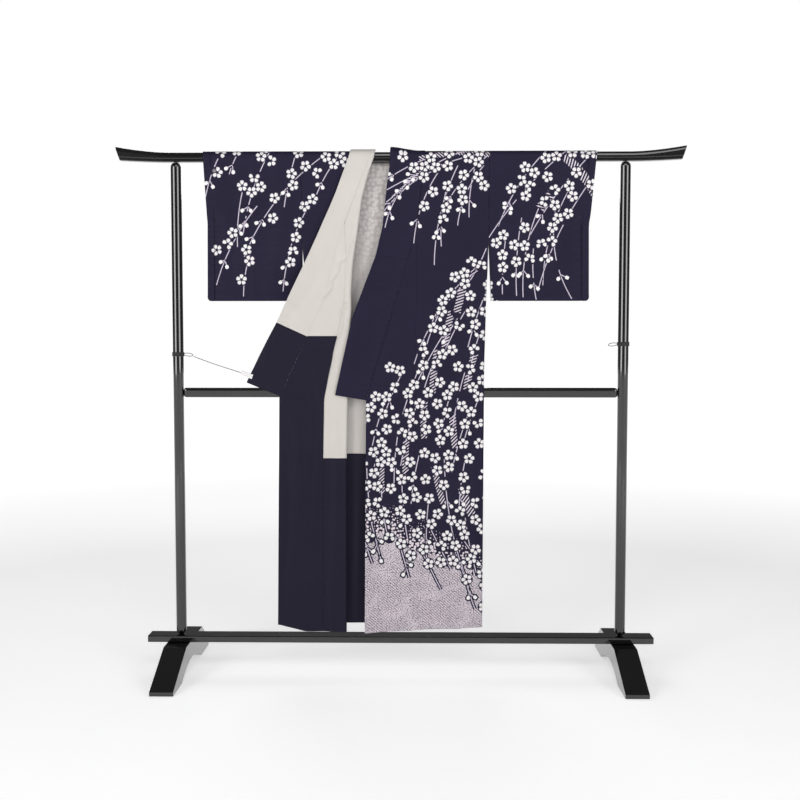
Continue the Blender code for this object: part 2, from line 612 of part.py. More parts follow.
def rounded_square(half, radius):
    points = []
    for turn in range(4):
        for step in (0, 30, 60, 90):
            angle = math.radians(90 * turn + step)
            corner = math.radians(90 * turn + 45)
            reach = (half - radius) * math.sqrt(2)
            points.append((reach * math.cos(corner) + radius * math.cos(angle),
                           reach * math.sin(corner) + radius * math.sin(angle)))
    return points


def post_band(name, x, z):
    """A flat band drawn tight round a post."""
    inner = rounded_square(POST_SIDE / 2 + BAND_GAP, BAND_INNER_ROUND)
    outer = rounded_square(POST_SIDE / 2 + BAND_GAP + BAND_THICK, BAND_OUTER_ROUND)
    made = flat_outline(name, [outer, inner], BAND_HEIGHT / 2, BLACK_TAPE)
    made.rotation_euler = (0.0, 0.0, 0.0)
    made.location = (x, 0.0, z)


def hook(name, x, z, toward):
    """A long oval wire loop that hangs on the band's inner side."""
    data = bpy.data.curves.new(name, "CURVE")
    data.dimensions = "3D"
    data.fill_mode = "FULL"
    data.bevel_depth = HOOK_WIRE / 2
    data.bevel_resolution = 2
    spline = data.splines.new("POLY")
    spline.points.add(HOOK_STEPS - 1)
    start = POST_SIDE / 2 + BAND_GAP + BAND_THICK + HOOK_WIRE / 2 + JOINT_GAP
    for index, point in enumerate(spline.points):
        turn = 2 * math.pi * index / HOOK_STEPS
        along = (1 - math.cos(turn)) / 2
        width = HOOK_WIDTH / 2 * math.sin(turn)
        point.co = (x + toward * (start + along * HOOK_LENGTH), HOOK_Y,
                    z + width - HOOK_DROOP * along, 1.0)
    spline.use_cyclic_u = True
    add_object(name, data, STEEL)


def tie_cord():
    data = bpy.data.curves.new("tie_cord", "CURVE")
    data.dimensions = "3D"
    data.bevel_depth = CORD_DIAMETER / 2
    data.bevel_resolution = 2
    data.use_fill_caps = True
    spline = data.splines.new("POLY")
    points = smooth_route([Vector(place) for place in CORD_ROUTE], ROUTE_STEPS)
    spline.points.add(len(points) - 1)
    for point, place in zip(spline.points, points):
        point.co = (*place, 1.0)
    add_object("tie_cord", data, CORD)


def smooth_route(route, steps):
    """Points read from a Catmull-Rom curve through the route's own points."""
    ends = [2 * route[0] - route[1]] + route + [2 * route[-1] - route[-2]]
    points = []
    for p0, p1, p2, p3 in zip(ends, ends[1:], ends[2:], ends[3:]):
        for step in range(steps):
            t = step / steps
            points.append(0.5 * (2 * p1 + (p2 - p0) * t + (2 * p0 - 5 * p1 + 4 * p2 - p3) * t ** 2
                                 + (3 * p1 - p0 - 3 * p2 + p3) * t ** 3))
    return points + [route[-1]]


def tie_clip():
    """A small plastic clip: two jaws with the collar's corner between them, joined behind it."""
    edge_x = read(RIGHT_COLLAR_EDGE, CLIP_FALL)
    middle = on_drape(edge_x, CLIP_FALL, turned_out(edge_x, CLIP_FALL))
    back, front = CLIP_ENTRY - CLIP_LENGTH, CLIP_ENTRY
    lower, upper = -CLIP_OUTSIDE - CLIP_PLATE, CLIP_INSIDE + CLIP_PLATE
    outline = [(back, lower), (front, lower), (front, -CLIP_OUTSIDE),
               (CLIP_JOINED, -CLIP_OUTSIDE), (CLIP_JOINED, CLIP_INSIDE), (front, CLIP_INSIDE),
               (front, upper), (back, upper)]
    made = flat_outline("tie_clip", [outline], CLIP_WIDTH / 2, CLIP_PLASTIC)
    made.rotation_euler = (0.0, CLIP_TILT, 0.0)
    made.location = middle


clear_scene()
PARTS = collection("kimono_on_stand")

NAVY = material("navy silk", (0.022, 0.020, 0.036), 0.55)
NAVY_LINING = material("navy lining silk", (0.018, 0.017, 0.030), 0.45)
IVORY = material("ivory lining silk", (0.72, 0.69, 0.65), 0.50)
LACQUER = material("black lacquer", (0.012, 0.012, 0.012), 0.18)
BLACK_TAPE = material("black band", (0.02, 0.02, 0.02), 0.6)
STEEL = material("dark steel wire", (0.08, 0.08, 0.08), 0.35, 1.0)
CORD = material("grey cord", (0.10, 0.10, 0.10), 0.7)
CLIP_PLASTIC = material("white clip plastic", (0.80, 0.78, 0.78), 0.35)

top_rail()
post_top, post_bottom = RAIL_BOTTOM - JOINT_GAP, BASE_TOP + JOINT_GAP
for name, x in (("right_post", -POST_X), ("left_post", POST_X)):
    bevelled_box(name, (x, 0.0, (post_top + post_bottom) / 2),
                 (POST_SIDE, POST_SIDE, post_top - post_bottom), POST_ROUND, 5)
rail_length = 2 * (POST_X - POST_SIDE / 2 - JOINT_GAP)
bevelled_box("middle_rail", (0.0, 0.0, (MIDDLE_BOTTOM + MIDDLE_TOP) / 2),
             (rail_length, MIDDLE_DEPTH, MIDDLE_TOP - MIDDLE_BOTTOM), MIDDLE_ROUND, 4)
bevelled_box("base_rail", (0.0, 0.0, (BASE_BOTTOM + BASE_TOP) / 2),
             (BASE_LENGTH, BASE_DEPTH, BASE_TOP - BASE_BOTTOM), BASE_ROUND, 2)
foot("right_foot", -FOOT_X)
foot("left_foot", FOOT_X)
post_band("right_post_band", -POST_X, RIGHT_POST_BAND_Z)
post_band("left_post_band", POST_X, LEFT_POST_BAND_Z)
hook("right_post_hook", -POST_X, RIGHT_POST_BAND_Z, 1)
hook("left_post_hook", POST_X, LEFT_POST_BAND_Z, -1)
tie_cord()
tie_clip()

back_panel("left_back", LEFT_SIDE, LEFT_NECK_X, lined=False)
back_panel("right_back", RIGHT_SIDE, RIGHT_NECK_X, lined=True)
left_front()
left_okumi()
right_front()
right_okumi()
left_collar()
right_collar()
neck_collar()
for sleeve_name, sleeve_shape in SLEEVES.items():
    sleeve(sleeve_name, sleeve_shape)
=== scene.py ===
"""A woman's lined silk visiting kimono, tie-dyed with weeping plum, on a black lacquered stand.

Metres, +Z up. Left and right are the wearer's, so the right front is on the -X side, turned back
like a lapel. `fall` is the distance down the cloth from the ridge of the shoulder, and `out` is
how far a layer stands off the plain drape over the rail.
"""
import math
import random
from collections import namedtuple

import bpy
import numpy as np
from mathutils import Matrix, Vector
from mathutils.kdtree import KDTree


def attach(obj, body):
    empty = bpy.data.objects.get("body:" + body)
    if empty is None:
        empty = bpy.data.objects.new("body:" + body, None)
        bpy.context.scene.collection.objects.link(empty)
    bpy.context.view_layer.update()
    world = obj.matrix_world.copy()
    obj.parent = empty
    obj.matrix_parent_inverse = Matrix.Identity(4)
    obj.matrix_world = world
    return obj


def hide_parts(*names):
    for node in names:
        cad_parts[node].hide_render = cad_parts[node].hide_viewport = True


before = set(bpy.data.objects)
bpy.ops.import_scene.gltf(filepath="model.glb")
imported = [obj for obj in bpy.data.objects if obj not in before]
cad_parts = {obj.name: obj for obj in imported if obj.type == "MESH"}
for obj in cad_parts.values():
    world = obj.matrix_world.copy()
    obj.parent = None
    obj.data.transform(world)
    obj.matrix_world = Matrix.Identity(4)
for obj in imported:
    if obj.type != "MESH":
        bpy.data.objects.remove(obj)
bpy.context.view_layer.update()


# ---- Studio ------------------------------------------------------------------------------------
# A pale floor under a white sky. Two tall soft boxes at the sides draw the long highlights on the
# lacquer, and two more light the cloth from above and from behind.
CAMERA_PLACE = (0.055, -3.494, 1.1237)
CAMERA_PITCH, CAMERA_YAW = math.radians(-3.4), math.radians(0.9)
LENS_MM, SENSOR_MM = 47.16, 36.0
FLOOR_SIZE, FLOOR_SHADE = 60.0, 0.90
SKY_LIGHT, SKY_SEEN = 0.10, 1.0
GLOW_NEAR, GLOW_FAR, GLOW_REACH, GLOW_RUN = 0.52, 1.0, 4.2, 3.6
SoftBox = namedtuple("SoftBox", "name place size watts")
SOFT_BOXES = (
    SoftBox("left_box", (-3.3, -4.2, 2.1), (1.6, 2.6), 88),
    SoftBox("right_box", (3.3, -4.2, 2.1), (1.6, 2.6), 73),
    SoftBox("front_box", (0.4, -3.4, 3.7), (2.6, 1.4), 36),
    SoftBox("rear_box", (-0.6, 3.4, 2.8), (2.4, 1.6), 28),
)
AIM = Vector((0.0, 0.0, 1.0))

camera = bpy.data.objects.new("camera", bpy.data.cameras.new("camera"))
camera.data.lens, camera.data.sensor_width = LENS_MM, SENSOR_MM
camera.location = CAMERA_PLACE
camera.rotation_euler = (math.pi / 2 + CAMERA_PITCH, 0.0, CAMERA_YAW)
bpy.context.scene.collection.objects.link(camera)
bpy.context.scene.camera = camera

for soft_box in SOFT_BOXES:
    light = bpy.data.lights.new(soft_box.name, "AREA")
    light.shape = "RECTANGLE"
    light.size, light.size_y = soft_box.size
    light.energy = soft_box.watts
    lamp = bpy.data.objects.new(soft_box.name, light)
    lamp.location = soft_box.place
    lamp.rotation_euler = (AIM - lamp.location).to_track_quat("-Z", "Y").to_euler()
    bpy.context.scene.collection.objects.link(lamp)

sky = bpy.data.worlds.new("studio sky")
sky.use_nodes = True
bpy.context.scene.world = sky
bpy.context.scene.view_settings.view_transform = "Standard"

half = FLOOR_SIZE / 2
floor_mesh = bpy.data.meshes.new("floor")
floor_mesh.from_pydata([(-half, -half, 0), (half, -half, 0), (half, half, 0), (-half, half, 0)],
                       [], [(0, 1, 2, 3)])
floor = bpy.data.objects.new("floor", floor_mesh)
bpy.context.scene.collection.objects.link(floor)


class Wire:
    """A socket in a material: sums on it add Math nodes, and node() adds any other node."""

    def __init__(self, tree, socket=None):
        self.tree, self.socket = tree, socket

    def node(self, kind, settings=None, inputs=None, output=0):
        made = self.tree.nodes.new("ShaderNode" + kind)
        for name, value in (settings or {}).items():
            setattr(made, name, value)
        for name, value in (inputs or {}).items():
            if isinstance(value, Wire):
                self.tree.links.new(value.socket, made.inputs[name])
            else:
                made.inputs[name].default_value = value
        return Wire(self.tree, made.outputs[output])

    def math(self, operation, *values, clamp=False):
        return self.node("Math", {"operation": operation, "use_clamp": clamp},
                         dict(enumerate(values)))

    def __add__(self, other):
        return self.math("ADD", self, other)

    def __radd__(self, other):
        return self.math("ADD", other, self)

    def __sub__(self, other):
        return self.math("SUBTRACT", self, other)

    def __rsub__(self, other):
        return self.math("SUBTRACT", other, self)

    def __mul__(self, other):
        return self.math("MULTIPLY", self, other)

    def __rmul__(self, other):
        return self.math("MULTIPLY", other, self)

    def __truediv__(self, other):
        return self.math("DIVIDE", self, other)

    def __pow__(self, other):
        return self.math("POWER", self, other)

    def __abs__(self):
        return self.math("ABSOLUTE", self)

    def both(self, other):
        return self.math("MINIMUM", self, other)

    def either(self, other):
        return self.math("MAXIMUM", self, other)

    def below(self, limit, softness):
        """1 where this is under the limit, 0 above it, with an edge this soft."""
        return self.math("MULTIPLY_ADD", self - limit, -1.0 / softness, 0.5, clamp=True)

    def parts(self):
        split = self.node("SeparateXYZ", inputs={0: self}).socket.node
        return [Wire(self.tree, socket) for socket in split.outputs]

    def mix(self, first, second):
        """Colours mixed by this mask, from the first where it is 0 to the second where it is 1."""
        return self.node("Mix", {"data_type": "RGBA"}, {0: self, 6: first, 7: second}, 2)

    def noise(self, scale, detail=2.0):
        return self.node("TexNoise", inputs={"Vector": self, "Scale": scale, "Detail": detail})

    def bump(self, distance, strength=1.0):
        return self.node("Bump", inputs={"Height": self, "Distance": distance,
                                         "Strength": strength})


def finish(name, fixed):
    """A material, the start of its wires, and a function that feeds its shader."""
    made = bpy.data.materials.new(name)
    made.use_nodes = True
    shader = made.node_tree.nodes["Principled BSDF"]
    for socket, value in fixed.items():
        shader.inputs[socket].default_value = value

    def feed(socket, wire):
        made.node_tree.links.new(wire.socket, shader.inputs[socket])

    return made, Wire(made.node_tree), feed


def colour(red, green, blue):
    return (red, green, blue, 1.0)


def grey(shade):
    return colour(shade, shade, shade)


sky_start = Wire(sky.node_tree)
background = sky.node_tree.nodes["Background"]
background.inputs["Color"].default_value = colour(1.0, 1.0, 1.0)
seen = sky_start.node("LightPath")
sky.node_tree.links.new((SKY_LIGHT + (SKY_SEEN - SKY_LIGHT) * seen).socket,
                        background.inputs["Strength"])

# The floor paper glows: painted light, dimmer near the stand and brighter farther off
floor_finish, start, feed = finish("floor paper", {"Roughness": 0.8, "Emission Strength": 1.0})
place = start.node("TexCoord", output=3)
glow_x, glow_y, _ = place.parts()
distance = start.math("SQRT", glow_x * glow_x + glow_y * glow_y)
far = 1 - distance.below(GLOW_REACH, GLOW_RUN)
feed("Emission Color", far.mix(grey(GLOW_NEAR), grey(GLOW_FAR)))
cool = colour(FLOOR_SHADE - 0.01, FLOOR_SHADE - 0.01, FLOOR_SHADE)
feed("Base Color", place.noise(3.0).mix(cool, grey(FLOOR_SHADE)))
floor.data.materials.append(floor_finish)


# ---- Tie that holds the right front open -------------------------------------------------------
# A thin braided cord is drawn tight from the wire loop on the right-hand post to a white plastic
# clip, which grips the corner of the collar. A woven band round each post carries its loop.
CORD_ROUTE = ((-0.6870, -0.0125, 1.0615), (-0.6560, -0.0212, 1.0507), (-0.6220, -0.0311, 1.0393),
              (-0.5880, -0.0411, 1.0288), (-0.5540, -0.0511, 1.0188), (-0.5220, -0.0603, 1.0093))
CORD_DIAMETER, CORD_LENGTH = 0.0020, 0.180
BRAID_PITCH = 0.0016


def smooth_route(route, steps):
    """Points, or whole rows of points, read from a Catmull-Rom curve through the route's own."""
    ends = [2 * route[0] - route[1]] + route + [2 * route[-1] - route[-2]]
    points = []
    for p0, p1, p2, p3 in zip(ends, ends[1:], ends[2:], ends[3:]):
        for step in range(steps):
            t = step / steps
            points.append(0.5 * (2 * p1 + (p2 - p0) * t + (2 * p0 - 5 * p1 + 4 * p2 - p3) * t ** 2
                                 + (3 * p1 - p0 - 3 * p2 + p3) * t ** 3))
    return points + [route[-1]]


cord_finish, start, feed = finish("braided grey cord", {"Roughness": 0.75})
place = start.node("TexCoord", output=3)
strands = place.node("TexWave", {"bands_direction": "DIAGONAL"},
                     {"Vector": place, "Scale": 0.3 / BRAID_PITCH, "Distortion": 0.6})
feed("Base Color", strands.mix(colour(0.008, 0.008, 0.009), colour(0.030, 0.030, 0.032)))
feed("Normal", strands.bump(0.0003))

cord_curve = bpy.data.curves.new("braided_tie_cord", "CURVE")
cord_curve.dimensions = "3D"
cord_curve.bevel_depth = CORD_DIAMETER / 2
cord_curve.bevel_resolution = 3
cord_curve.use_fill_caps = True
cord_points = smooth_route([Vector(point) for point in CORD_ROUTE], 6)
spline = cord_curve.splines.new("POLY")
spline.points.add(len(cord_points) - 1)
for point, place in zip(spline.points, cord_points):
    point.co = (*place, 1.0)
cord_curve.materials.append(cord_finish)
cord = bpy.data.objects.new("braided_tie_cord", cord_curve)
bpy.context.scene.collection.objects.link(cord)
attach(cord, "root")
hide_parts("tie_cord")
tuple(CORD_ROUTE[0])


def refinish(material, *nodes):
    for node in nodes:
        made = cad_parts[node]
        made.data.materials.clear()
        made.data.materials.append(material)


clip_finish, start, feed = finish("white clip plastic", {"Coat Weight": 0.3})
grain = start.node("TexCoord", output=3).noise(420.0)
feed("Base Color", grain.mix(colour(0.74, 0.72, 0.72), colour(0.82, 0.80, 0.80)))
feed("Roughness", 0.28 + 0.14 * grain)
feed("Normal", grain.bump(0.0001))
refinish(clip_finish, "tie_clip")

wire_finish, start, feed = finish("dark steel wire", {"Metallic": 0.6})
grain = start.node("TexCoord", output=3).noise(900.0)
feed("Base Color", grain.mix(colour(0.015, 0.015, 0.015), colour(0.045, 0.045, 0.045)))
feed("Roughness", 0.25 + 0.25 * grain)
refinish(wire_finish, "right_post_hook", "left_post_hook")

band_finish, start, feed = finish("black woven band", {"Roughness": 0.7})
place = start.node("TexCoord", output=3)
weave = place.node("TexWave", {"bands_direction": "Z"}, {"Vector": place, "Scale": 180.0})
feed("Base Color", weave.mix(colour(0.010, 0.010, 0.011), colour(0.030, 0.030, 0.032)))
feed("Normal", weave.bump(0.0003))
refinish(band_finish, "right_post_band", "left_post_band")


# ---- Stand -------------------------------------------------------------------------------------
# Joiner's work in straight-grained wood under black lacquer, rubbed back and polished: a moulded
# top rail with swept-up ends, two posts, two rails between them, and an arched foot at each end.
lacquer, start, feed = finish("black lacquer", {"Coat Roughness": 0.05, "Coat IOR": 1.7,
                                                "Specular IOR Level": 0.15})
place = start.node("TexCoord", output=3)
cloudy = place.noise(7.0, 4.0)
grain = place.node("Mapping", inputs={"Vector": place, "Scale": (260.0, 260.0, 9.0)}).noise(1.0, 3.0)
feed("Base Color", cloudy.mix(colour(0.0030, 0.0029, 0.0030), colour(0.0060, 0.0056, 0.0055)))
feed("Roughness", 0.16 + 0.12 * cloudy)
feed("Coat Weight", 0.80 + 0.16 * cloudy)
rounded = start.node("Bevel", {"samples": 8}, {"Radius": 0.004})
feed("Normal", grain.node("Bump", inputs={"Height": grain, "Distance": 0.00012, "Strength": 0.5,
                                          "Normal": rounded}))
refinish(lacquer, "top_rail", "right_post", "left_post", "middle_rail", "base_rail", "right_foot",
         "left_foot")


# ---- Weeping plum ------------------------------------------------------------------------------
# The dyer's drawing, in the cloth's own measures, for the front and for the back. Each branch is
# tied and dyed as a line that carries plum blossoms, then a fork of buds, then a bare whip.
FRONT, BACK = -1, 1
BLOSSOM, BUD = 0.0184, 0.0058
BLOSSOM_ROOM, BUD_ROOM = 0.0340, 0.0250
STEP = 0.008
PAIRED, PAIR_APART = 0.45, 0.0350
FILL_TRIES, FILL_ROOM = 900, 0.0385
Branch = namedtuple("Branch", "x fall lean bend length blossoms forks")
FRONT_BRANCHES = (
    # left shoulder and chest: lean is from straight down towards the wearer's right
    (0.270, 0.020, 78, -18, 0.34, 6, 1), (0.215, 0.010, 70, -26, 0.30, 5, 1),
    (0.285, 0.030, 52, -30, 0.26, 4, 1), (0.150, 0.055, 64, -14, 0.24, 4, 1),
    (0.130, 0.075, 34, -30, 0.26, 3, 1), (0.190, 0.060, 26, -26, 0.34, 4, 1),
    (0.245, 0.070, 14, -16, 0.16, 2, 1), (0.085, 0.085, 58, -24, 0.22, 3, 1),
    (0.275, 0.060, 40, -34, 0.22, 4, 1), (0.110, 0.030, 72, -20, 0.20, 4, 1),
    (0.160, 0.110, 16, -20, 0.22, 2, 1), (0.020, 0.120, 40, -30, 0.16, 2, 1),
    (0.284, 0.330, 22, 10, 0.12, 0, 0), (0.276, 0.372, 52, -36, 0.34, 4, 1),
    (0.200, 0.460, 46, -30, 0.30, 4, 1), (0.262, 0.400, 60, -40, 0.26, 3, 1),
    (0.190, 0.560, 34, -18, 0.26, 3, 0),
    # left sleeve
    (0.640, 0.010, 46, -20, 0.40, 6, 1), (0.560, 0.000, 52, -20, 0.40, 6, 1),
    (0.480, 0.010, 44, -24, 0.30, 5, 1), (0.625, 0.110, 36, -22, 0.40, 6, 1),
    (0.560, 0.130, 30, -30, 0.34, 5, 1), (0.455, 0.200, 22, -26, 0.30, 5, 1),
    (0.400, 0.230, 10, -14, 0.26, 5, 1), (0.350, 0.280, 8, -10, 0.20, 4, 1),
    (0.510, 0.210, 8, -40, 0.30, 4, 1), (0.440, 0.330, 4, -16, 0.17, 3, 1),
    # right sleeve and shoulder
    (-0.335, 0.000, 18, -10, 0.20, 2, 1), (-0.240, 0.020, 56, -34, 0.44, 8, 2),
    (-0.420, 0.000, 30, -22, 0.30, 4, 2), (-0.520, 0.000, 34, -18, 0.10, 1, 1),
    (-0.585, 0.010, 28, -16, 0.16, 3, 1), (-0.470, 0.190, 40, -24, 0.30, 5, 1),
    (-0.300, 0.190, 30, -26, 0.30, 4, 2), (-0.510, 0.110, 16, -18, 0.22, 2, 1),
    (-0.490, 0.330, 20, -20, 0.16, 3, 1), (-0.190, 0.015, 40, -20, 0.18, 3, 1),
)
BACK_BRANCHES = (
    (-0.200, 0.020, 40, -30, 0.46, 7, 2), (-0.060, 0.060, 34, -26, 0.42, 6, 2),
    (0.120, 0.015, 44, -34, 0.50, 8, 2), (0.230, 0.020, 30, -26, 0.46, 7, 2),
    (0.060, 0.120, 22, -24, 0.40, 5, 2), (0.280, 0.180, 24, -20, 0.38, 6, 1),
    (0.600, 0.010, 44, -26, 0.44, 7, 2), (0.500, 0.020, 40, -24, 0.42, 7, 1),
    (0.620, 0.150, 30, -28, 0.36, 6, 1), (0.430, 0.120, 26, -24, 0.34, 5, 1),
    (-0.370, 0.010, 36, -28, 0.42, 6, 2), (-0.470, 0.020, 34, -24, 0.40, 5, 2),
    (-0.560, 0.100, 22, -20, 0.34, 4, 2), (-0.400, 0.240, 24, -20, 0.24, 3, 1),
)
# The mass that sweeps down to the hem: branches set out on slanting rows under this line
Mass = namedtuple("Mass", "right left top_right top_left bottom_right bottom_left")
FRONT_MASS = Mass(-0.125, 0.285, 0.870, 0.410, 1.270, 1.470)
BACK_MASS = Mass(-0.300, 0.285, 1.150, 0.560, 1.430, 1.300)
MASS_SPACING_X, MASS_SPACING_FALL = 0.060, 0.190
Hatching = namedtuple("Hatching", "x fall lean bend length half_width")
FRONT_HATCHING = (
    (0.560, 0.050, -46, 30, 0.22, 0.014), (0.500, 0.150, 40, 0, 0.07, 0.015),
    (0.150, 0.022, 84, -12, 0.09, 0.009), (0.215, 0.018, -86, 0, 0.08, 0.009),
    (0.060, 0.090, 60, 0, 0.06, 0.007), (0.215, 0.440, 18, -6, 0.11, 0.012),
    (0.165, 0.560, 14, -8, 0.10, 0.011), (0.120, 0.690, 10, -8, 0.12, 0.011),
    (0.080, 0.860, 4, -10, 0.10, 0.010), (0.175, 0.900, -2, -10, 0.09, 0.011),
    (0.020, 0.990, 4, -8, 0.09, 0.010), (0.120, 1.080, -12, -6, 0.10, 0.010),
    (0.215, 1.150, -22, 0, 0.10, 0.013), (-0.060, 1.060, 2, -6, 0.08, 0.009),
    (0.240, 0.700, 16, -8, 0.10, 0.011),
)
# Bare whips that hang into the pale ground, each with the navy kept round it
Whip = namedtuple("Whip", "x fall lean length buds")
FRONT_WHIPS = (
    (-0.095, 1.235, -14, 0.125, 3), (-0.052, 1.225, -10, 0.070, 0),
    (0.005, 1.330, -16, 0.100, 2), (0.080, 1.350, -27, 0.130, 0),
    (0.105, 1.265, -27, 0.150, 0), (0.185, 1.335, -20, 0.160, 0),
    (0.215, 1.300, -34, 0.110, 0),
)
BACK_WHIPS = (
    (-0.200, 1.440, 14, 0.110, 3), (-0.090, 1.400, 18, 0.120, 0),
    (0.020, 1.330, 22, 0.140, 2), (0.130, 1.240, 26, 0.130, 0),
)
BACK_HATCHING = (
    (0.540, 0.060, -40, 26, 0.20, 0.012), (0.180, 0.640, 16, -18, 0.34, 0.008),
    (-0.060, 0.960, 8, -16, 0.26, 0.008), (0.060, 0.050, 60, 0, 0.10, 0.009),
)
chance = random.Random(7)


def trace(x, fall, lean, bend, length):
    """Points along an arc as rows of x, fall, direction x, direction fall, distance, left."""
    rows = []
    count = max(2, int(length / STEP))
    for index in range(count + 1):
        angle = math.radians(lean + bend * index / count)
        step_x, step_fall = -math.sin(angle), math.cos(angle)
        rows.append((x, fall, step_x, step_fall, index * STEP, (count - index) * STEP))
        x += step_x * STEP
        fall += step_fall * STEP
    return rows


class Drawing:
    """Blossoms, buds, lines and hatching for one side of the kimono, found by where they lie."""

    def __init__(self, branches, mass, hatchings, whips):
        self.blossoms, self.buds, self.lines, self.hatching = [], [], [], []
        for whip in map(Whip._make, whips):
            self.hang(whip)
        for branch in map(Branch._make, branches):
            self.grow(branch)
        for branch in self.mass_branches(mass):
            self.grow(branch)
        self.fill(mass)
        for bundle in map(Hatching._make, hatchings):
            rows = trace(*bundle[:5])
            self.hatching += [(*row, bundle.half_width) for row in rows]
        self.trees = [self.tree(marks) for marks in
                      (self.blossoms, self.buds, self.lines, self.hatching)]

    @staticmethod
    def tree(marks):
        made = KDTree(len(marks))
        for index, mark in enumerate(marks):
            made.insert((mark[0], mark[1], 0.0), index)
        made.balance()
        return made

    @staticmethod
    def clear(marks, x, fall, room):
        return all((x - mark[0]) ** 2 + (fall - mark[1]) ** 2 > room ** 2 for mark in marks)

    def mass_branches(self, mass):
        rows = int((mass.left - mass.right) / MASS_SPACING_X)
        for column in range(rows + 1):
            share = column / rows
            x = mass.right + (mass.left - mass.right) * share
            top = mass.top_right + (mass.top_left - mass.top_right) * share
            bottom = mass.bottom_right + (mass.bottom_left - mass.bottom_right) * share
            fall = top + 0.05 * chance.random()
            while fall < bottom - 0.06:
                lean = 26 - 34 * smooth((fall - 0.5) / 0.9) + chance.uniform(-9, 9)
                length = chance.uniform(0.17, 0.24)
                yield Branch(x + chance.uniform(-0.02, 0.02), fall, lean, -10, length, 4, 1)
                fall += MASS_SPACING_FALL * chance.uniform(0.75, 1.15)

    def grow(self, branch):
        rows = trace(*branch[:5])
        self.stretches(rows)
        full = int(len(rows) * 0.66)
        for index in range(branch.blossoms):
            row = rows[int(full * (index + 0.3) / branch.blossoms)]
            aside = chance.uniform(-0.018, 0.018)
            x, fall = row[0] + row[3] * aside, row[1] - row[2] * aside
            self.open_blossom(x, fall, BLOSSOM_ROOM)
            if chance.random() < PAIRED:
                turn = chance.uniform(0, 2 * math.pi)
                self.open_blossom(x + PAIR_APART * math.cos(turn),
                                  fall + PAIR_APART * math.sin(turn), BLOSSOM_ROOM)
        for index in range(branch.forks):
            row = rows[min(len(rows) - 2, int(full * (1.06 + 0.22 * index)))]
            for toward in (-1, 1):
                self.twig(row, toward * chance.uniform(28, 46), chance.uniform(0.018, 0.027))

    def open_blossom(self, x, fall, room):
        if self.clear(self.blossoms, x, fall, room) and self.clear(self.buds, x, fall, BUD_ROOM):
            self.blossoms.append((x, fall, chance.uniform(0, 2 * math.pi), chance.random()))

    def stretches(self, rows):
        """The line shows in stretches, with bare cloth between them, and always at its tip."""
        start = 0
        while start < len(rows) - 2:
            end = min(len(rows) - 1, start + chance.randint(10, 20))
            if len(rows) - 1 - end < 8:
                end = len(rows) - 1
            self.lines += [(*row[:4], index * STEP, (end - start - index) * STEP)
                           for index, row in enumerate(rows[start:end + 1])]
            start = end + chance.randint(1, 4)

    def fill(self, mass):
        """Single blossoms in what the branches of the mass leave bare."""
        for _ in range(FILL_TRIES):
            share = chance.random()
            x = mass.right + (mass.left - mass.right) * share
            top = mass.top_right + (mass.top_left - mass.top_right) * share
            bottom = mass.bottom_right + (mass.bottom_left - mass.bottom_right) * share
            fall = top + (bottom - top) * chance.random() ** 0.75
            self.open_blossom(x, fall, FILL_ROOM)

    def hang(self, whip):
        """A bare whip under its last blossom, with buds on short stalks near its tip."""
        rows = trace(whip.x, whip.fall, whip.lean, 0, whip.length)
        self.lines += rows
        self.open_blossom(whip.x, whip.fall - 0.022, BLOSSOM_ROOM)
        for index in range(whip.buds):
            row = rows[int(len(rows) * (0.45 + 0.18 * index))] if index < 2 else rows[-1]
            self.twig(row, (-46, 44, 0)[index], 0.024 if index < 2 else 0.010)

    def twig(self, row, turn, length):
        lean = math.degrees(math.atan2(-row[2], row[3])) + turn
        rows = trace(row[0], row[1], lean, 0, length)
        x, fall = rows[-1][:2]
        if self.clear(self.blossoms, x, fall, BUD_ROOM):
            self.lines += rows
            self.buds.append((x, fall, math.radians(lean), chance.random()))


def smooth(value):
    value = np.clip(value, 0.0, 1.0)
    return value * value * (3 - 2 * value)


drawings = {FRONT: Drawing(FRONT_BRANCHES, FRONT_MASS, FRONT_HATCHING, FRONT_WHIPS),
            BACK: Drawing(BACK_BRANCHES, BACK_MASS, BACK_HATCHING, BACK_WHIPS)}


def ground_depth(x, fall, side):
    """How far below the upper edge of the grey-lilac ground near the hem a point lies."""
    if side == FRONT:
        edge = 1.255 + 0.43 * (x + 0.112)
    else:
        edge = 1.640 - 0.75 * (x + 0.300)
    ripple = 0.014 * np.sin(x * 52.0) + 0.008 * np.sin(x * 131.0 + 1.0)
    depth = fall - edge - ripple
    return depth if side == BACK else np.where(x < -0.14, -9.0, depth)


# ---- Figured silk ------------------------------------------------------------------------------
# Navy silk crepe. The petals, buds and lines were tied off and kept the white of the cloth, the
# ground at the hem is tied all over in small dots, and every tied place is left a little raised.
NAVY_DEEP, NAVY_PALE = colour(0.0130, 0.0107, 0.0275), colour(0.0200, 0.0167, 0.0400)
WHITE, FRINGE = colour(0.84, 0.82, 0.82), colour(0.40, 0.37, 0.44)
LILAC, TIE_MARK = colour(0.58, 0.52, 0.62), colour(0.62, 0.55, 0.50)
DOT_WHITE, HATCH_LILAC = colour(0.70, 0.625, 0.68), colour(0.66, 0.60, 0.67)
PETALS = 5
PETAL_PLACE, PETAL_LONG, PETAL_WIDE = 0.610, 0.375, 0.350
LINE_HALF = 0.0015
HATCH_PITCH = 0.0105
DOT_PITCH, GROUND_PITCH = 0.0098, 0.0037
DIAGONAL_PITCH = 0.0092


def crepe(wire, cut):
    """The uneven surface of silk crepe, from 0 to 1."""
    return cut.noise(1400.0, 3.0) * 0.6 + cut.noise(380.0, 2.0) * 0.4


